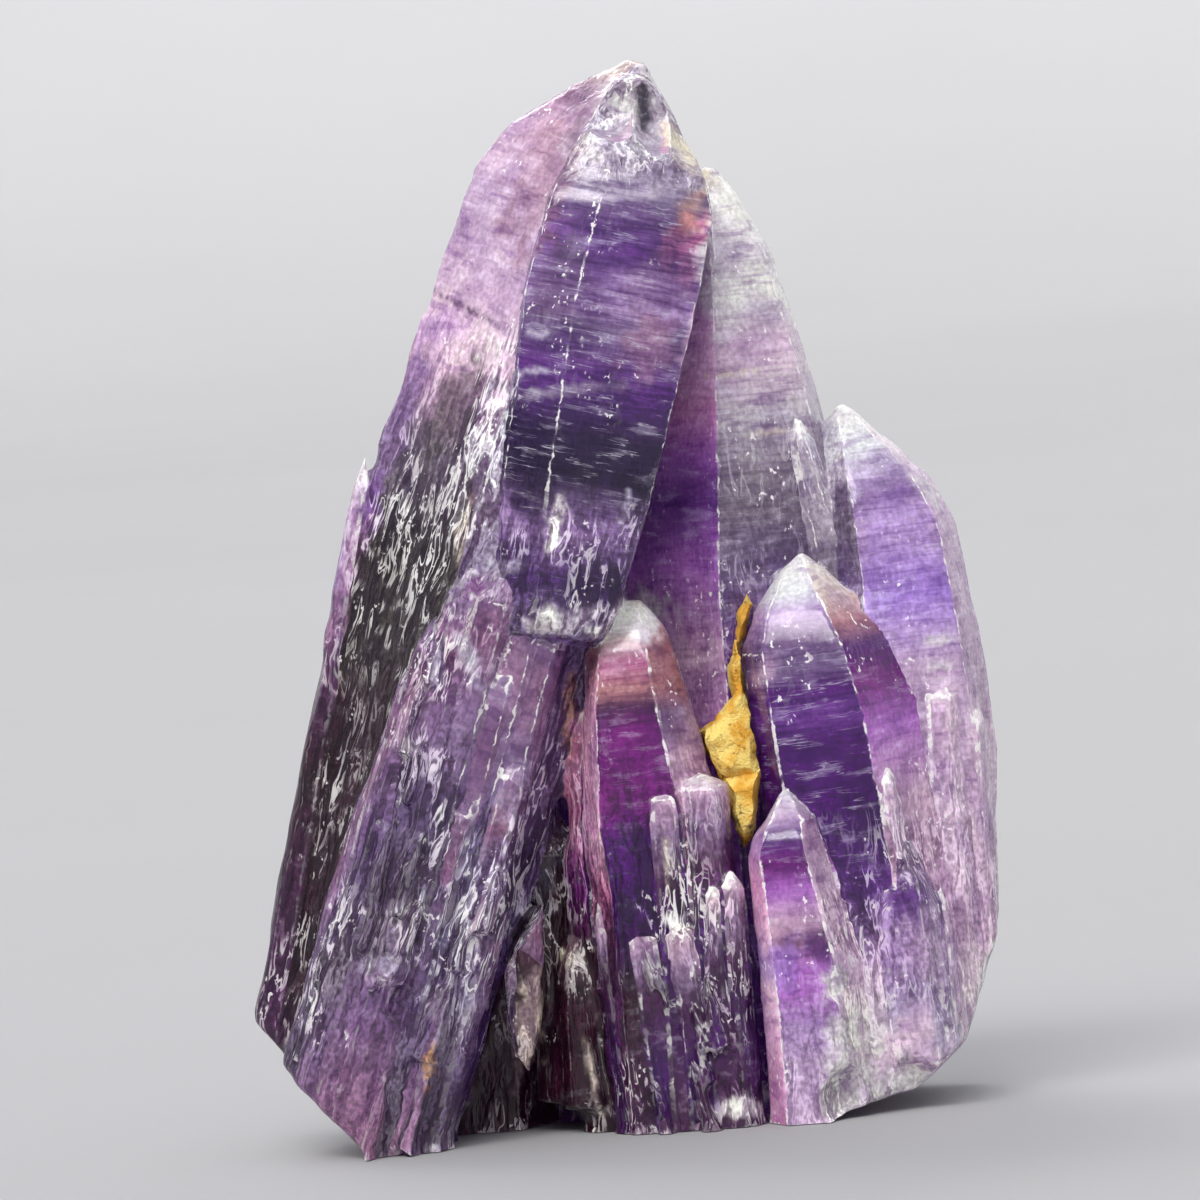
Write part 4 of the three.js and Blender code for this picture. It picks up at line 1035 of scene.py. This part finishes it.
def amethyst_material():
    """See-through quartz, with the markings that the mesh's attributes call for."""
    n = Nodes("amethyst")
    grain = n.attribute("grain", "Vector")
    tint = n.attribute("tint", "Color")
    etched, banded, edge, swarm = (n.attribute(name) for name in ("etched", "banded", "edge", "swarm"))
    grit, growth, veils, threads, bruises = (n.noise(grain, *kind)
                                             for kind in (GRIT, GROWTH, VEILS, THREADS, BRUISES))
    unetched = n.range(etched, *UNETCHED)

    # growth lines square to the axis: dark bands, and thin pale lines broken along their length
    colour = n.multiplied(n.times(n.range(growth, *BAND_FROM), banded, BAND_STRENGTH), tint, DARKER)
    lines = n.range(n.off(growth, LINE_AT), *LINE_WIDE)
    lines = n.times(lines, n.range(veils, *LINE_VEIL), banded, LINE_STRENGTH)
    colour = n.mix(lines, colour, opaque(SILVER))

    # dusky veils and pale ones, and fine grains all over
    colour = n.multiplied(n.times(n.range(veils, *DUSKY_FROM), unetched, DUSKY_STRENGTH), colour, DARKER)
    pale = n.mix(PALE_SILVER, n.shaded(tint, PALE_LIGHT), opaque(SILVER))
    colour = n.mix(n.times(n.range(veils, *PALE_FROM), unetched, PALE_STRENGTH), colour, pale)
    dull, light = (n.range(etched, 0.0, 1.0, *share) for share in (GRIT_DARK, GRIT_LIGHT))
    colour = n.shaded(colour, n.range(grit, *GRIT_FROM, dull, light))

    # etched streaks along the axis: hollows darkened as painted shade, and bright threads in swarms that
    # are painted glints
    hollow_shade = n.times(n.range(threads, *HOLLOW_SHADE_FROM), etched, HOLLOW_SHADE_STRENGTH)
    colour = n.multiplied(hollow_shade, colour, HOLLOW_SHADE)
    glint_crests = n.range(n.off(threads, THREAD_AT), *THREAD_WIDE)
    glint_crests = n.times(glint_crests, n.range(swarm, *THREAD_SWARM), etched)
    colour = n.mix(glint_crests, colour,
                   n.mix(n.range(swarm, *GLINT_WHITE), n.shaded(tint, GLINT_LIGHT), opaque(WHITE)))

    # bruised edges, and white flecks
    ragged = n.math("ADD", edge, n.range(grit, *RAGGED_FROM, 0.0, EDGE_LINE * EDGE_RAGGED))
    rims = n.times(n.range(ragged, EDGE_LINE, EDGE_LINE * EDGE_RAGGED), n.range(bruises, *BRUISE_FROM),
                   n.range(etched, *BRUISE_ETCHED))
    flecks = n.times(n.range(bruises, *FLECK_FROM), n.range(grit, *FLECK_GRIT),
                     n.range(swarm, *FLECK_SWARM), FLECK_STRENGTH)
    white = n.math("MAXIMUM", rims, flecks)
    colour = n.mix(white, colour, opaque(WHITE))
    white = n.math("MAXIMUM", white, glint_crests)

    rough = n.math("ADD", n.range(etched, 0.0, 1.0, *SMOOTH_ROUGH), n.times(white, WHITE_ROUGH))
    milky = n.range(n.attribute("tint"), *MILKY)
    clear = n.times(n.range(white, 0.0, 1.0, 1.0, WHITE_CLEAR),
                    n.range(milky, 0.0, 1.0, 1.0, MILKY_CLEAR), CLEAR)
    n.set(Base_Color=colour, Roughness=rough, Normal=n.bump(n.times(threads, etched), ETCH_BUMP),
          IOR=QUARTZ_IOR, Transmission_Weight=clear)
    absorption = n.put("VolumeAbsorption", {"Color": ABSORBED, "Density": ABSORPTION})
    n.link(absorption, n.output.inputs["Volume"])
    return n.material


def crust_material():
    """Matt, spotted iron oxide."""
    n = Nodes("iron_oxide")
    grain = n.attribute("grain", "Vector")
    lumps, spots, grit = (n.noise(grain, *kind) for kind in (RUST_LUMPS, RUST_SPOTS, RUST_GRIT))
    colour = n.mix(n.range(lumps, *RUST_YELLOW), opaque(OCHRE), opaque(YELLOW))
    colour = n.mix(n.times(n.range(spots, *SPOT_FROM), SPOT_STRENGTH), colour, opaque(RUST))
    colour = n.mix(n.times(n.range(grit, *BUFF_FROM), BUFF_STRENGTH), colour, opaque(BUFF))
    n.set(Base_Color=colour, Roughness=n.range(grit, *RUST_ROUGH), Normal=n.bump(grit, RUST_BUMP))
    return n.material


def stage():
    """A pale floor that curves up to a wall all round, out of reach of any view."""
    profile = [(0.0, 0.0), (FLOOR_REACH, 0.0)]
    for k in range(1, COVE_STEPS + 1):
        turn = math.pi / 2 * k / COVE_STEPS
        profile.append((FLOOR_REACH + COVE * math.sin(turn), COVE * (1 - math.cos(turn))))
    profile.append((FLOOR_REACH + COVE, WALL_TALL))
    shape = bmesh.new()
    rings = []
    for reach, height in profile:
        turns = [math.tau * k / ROUND_STEPS for k in range(ROUND_STEPS)] if reach else [0.0]
        rings.append([shape.verts.new((reach * math.cos(t), reach * math.sin(t), height - FLOOR_GAP))
                      for t in turns])
    for inner, outer in zip(rings, rings[1:]):
        for k in range(ROUND_STEPS):
            after = (k + 1) % ROUND_STEPS
            near = [inner[0]] if len(inner) == 1 else [inner[after], inner[k]]
            shape.faces.new(near + [outer[k], outer[after]])
    mesh = bpy.data.meshes.new("floor")
    shape.to_mesh(mesh)
    shape.free()
    mesh.shade_smooth()
    n = Nodes("pale_floor")
    mottle = n.noise(n.put("NewGeometry", {}, "Position"), *FLOOR_MOTTLE)
    n.set(Base_Color=n.mix(mottle, opaque(FLOOR_PALE), opaque(FLOOR_WARM)), Roughness=FLOOR_ROUGH)
    mesh.materials.append(n.material)
    placed("floor", mesh)


def light(name, place, width, strength, colour):
    """A soft light from far away. Width is how wide it looks, in degrees."""
    lamp = bpy.data.lights.new(name, "SUN")
    lamp.angle = math.radians(width)
    lamp.energy = strength
    lamp.color = colour
    holder = placed(name, lamp)
    holder.location = place
    holder.rotation_euler = (-Vector(place)).to_track_quat("-Z", "Y").to_euler()


def sky():
    """An even, weak light from above the wall."""
    world = bpy.data.worlds.new("studio")
    world.use_nodes = True
    background = world.node_tree.nodes["Background"]
    background.inputs["Color"].default_value = SKY_COLOUR
    background.inputs["Strength"].default_value = SKY
    bpy.context.scene.world = world


def camera():
    """The photograph's view: a little from above, and turned by its roll."""
    dx = (PHOTO_SIDE / 2 - PHOTO_FOOT[0]) / PHOTO_SCALE
    dz = (PHOTO_FOOT[1] - PHOTO_SIDE / 2) / PHOTO_SCALE
    aim = np.array([dx * math.cos(ROLL) + dz * math.sin(ROLL), FOCUS_DEPTH,
                    dz * math.cos(ROLL) - dx * math.sin(ROLL)])
    back = np.array([0, -math.cos(ELEVATION), math.sin(ELEVATION)])
    level = np.array([1.0, 0, 0])
    rise = np.array([0, math.sin(ELEVATION), math.cos(ELEVATION)])
    right = level * math.cos(ROLL) - rise * math.sin(ROLL)
    up = level * math.sin(ROLL) + rise * math.cos(ROLL)
    lens = bpy.data.cameras.new("camera")
    lens.sensor_width = SENSOR
    lens.lens = SENSOR * CAMERA_AWAY * PHOTO_SCALE / PHOTO_SIDE
    lens.clip_start = NEAREST
    lens.clip_end = FARTHEST
    eye = placed("camera", lens)
    place = (aim + back * CAMERA_AWAY - MIDDLE) * MM
    eye.matrix_world = Matrix.Translation(place) @ Matrix(np.stack([right, up, back], axis=1)).to_4x4()
    bpy.context.scene.camera = eye


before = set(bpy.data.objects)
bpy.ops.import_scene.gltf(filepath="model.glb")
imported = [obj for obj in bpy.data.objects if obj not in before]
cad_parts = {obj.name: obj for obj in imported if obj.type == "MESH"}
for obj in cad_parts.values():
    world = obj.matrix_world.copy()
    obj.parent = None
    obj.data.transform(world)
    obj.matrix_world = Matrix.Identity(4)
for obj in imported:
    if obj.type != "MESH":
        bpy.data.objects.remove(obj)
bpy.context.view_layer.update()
camera()
stage()
sky()
for name, settings in LIGHTS.items():
    light(name, *settings)

crystals_piece = crystal_piece()
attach(crystals_piece, "root")
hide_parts("crystal_cluster")
crust = crust_piece()
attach(crust, "root")
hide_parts("iron_oxide_crust")

bpy.context.scene.view_settings.view_transform = "Standard"
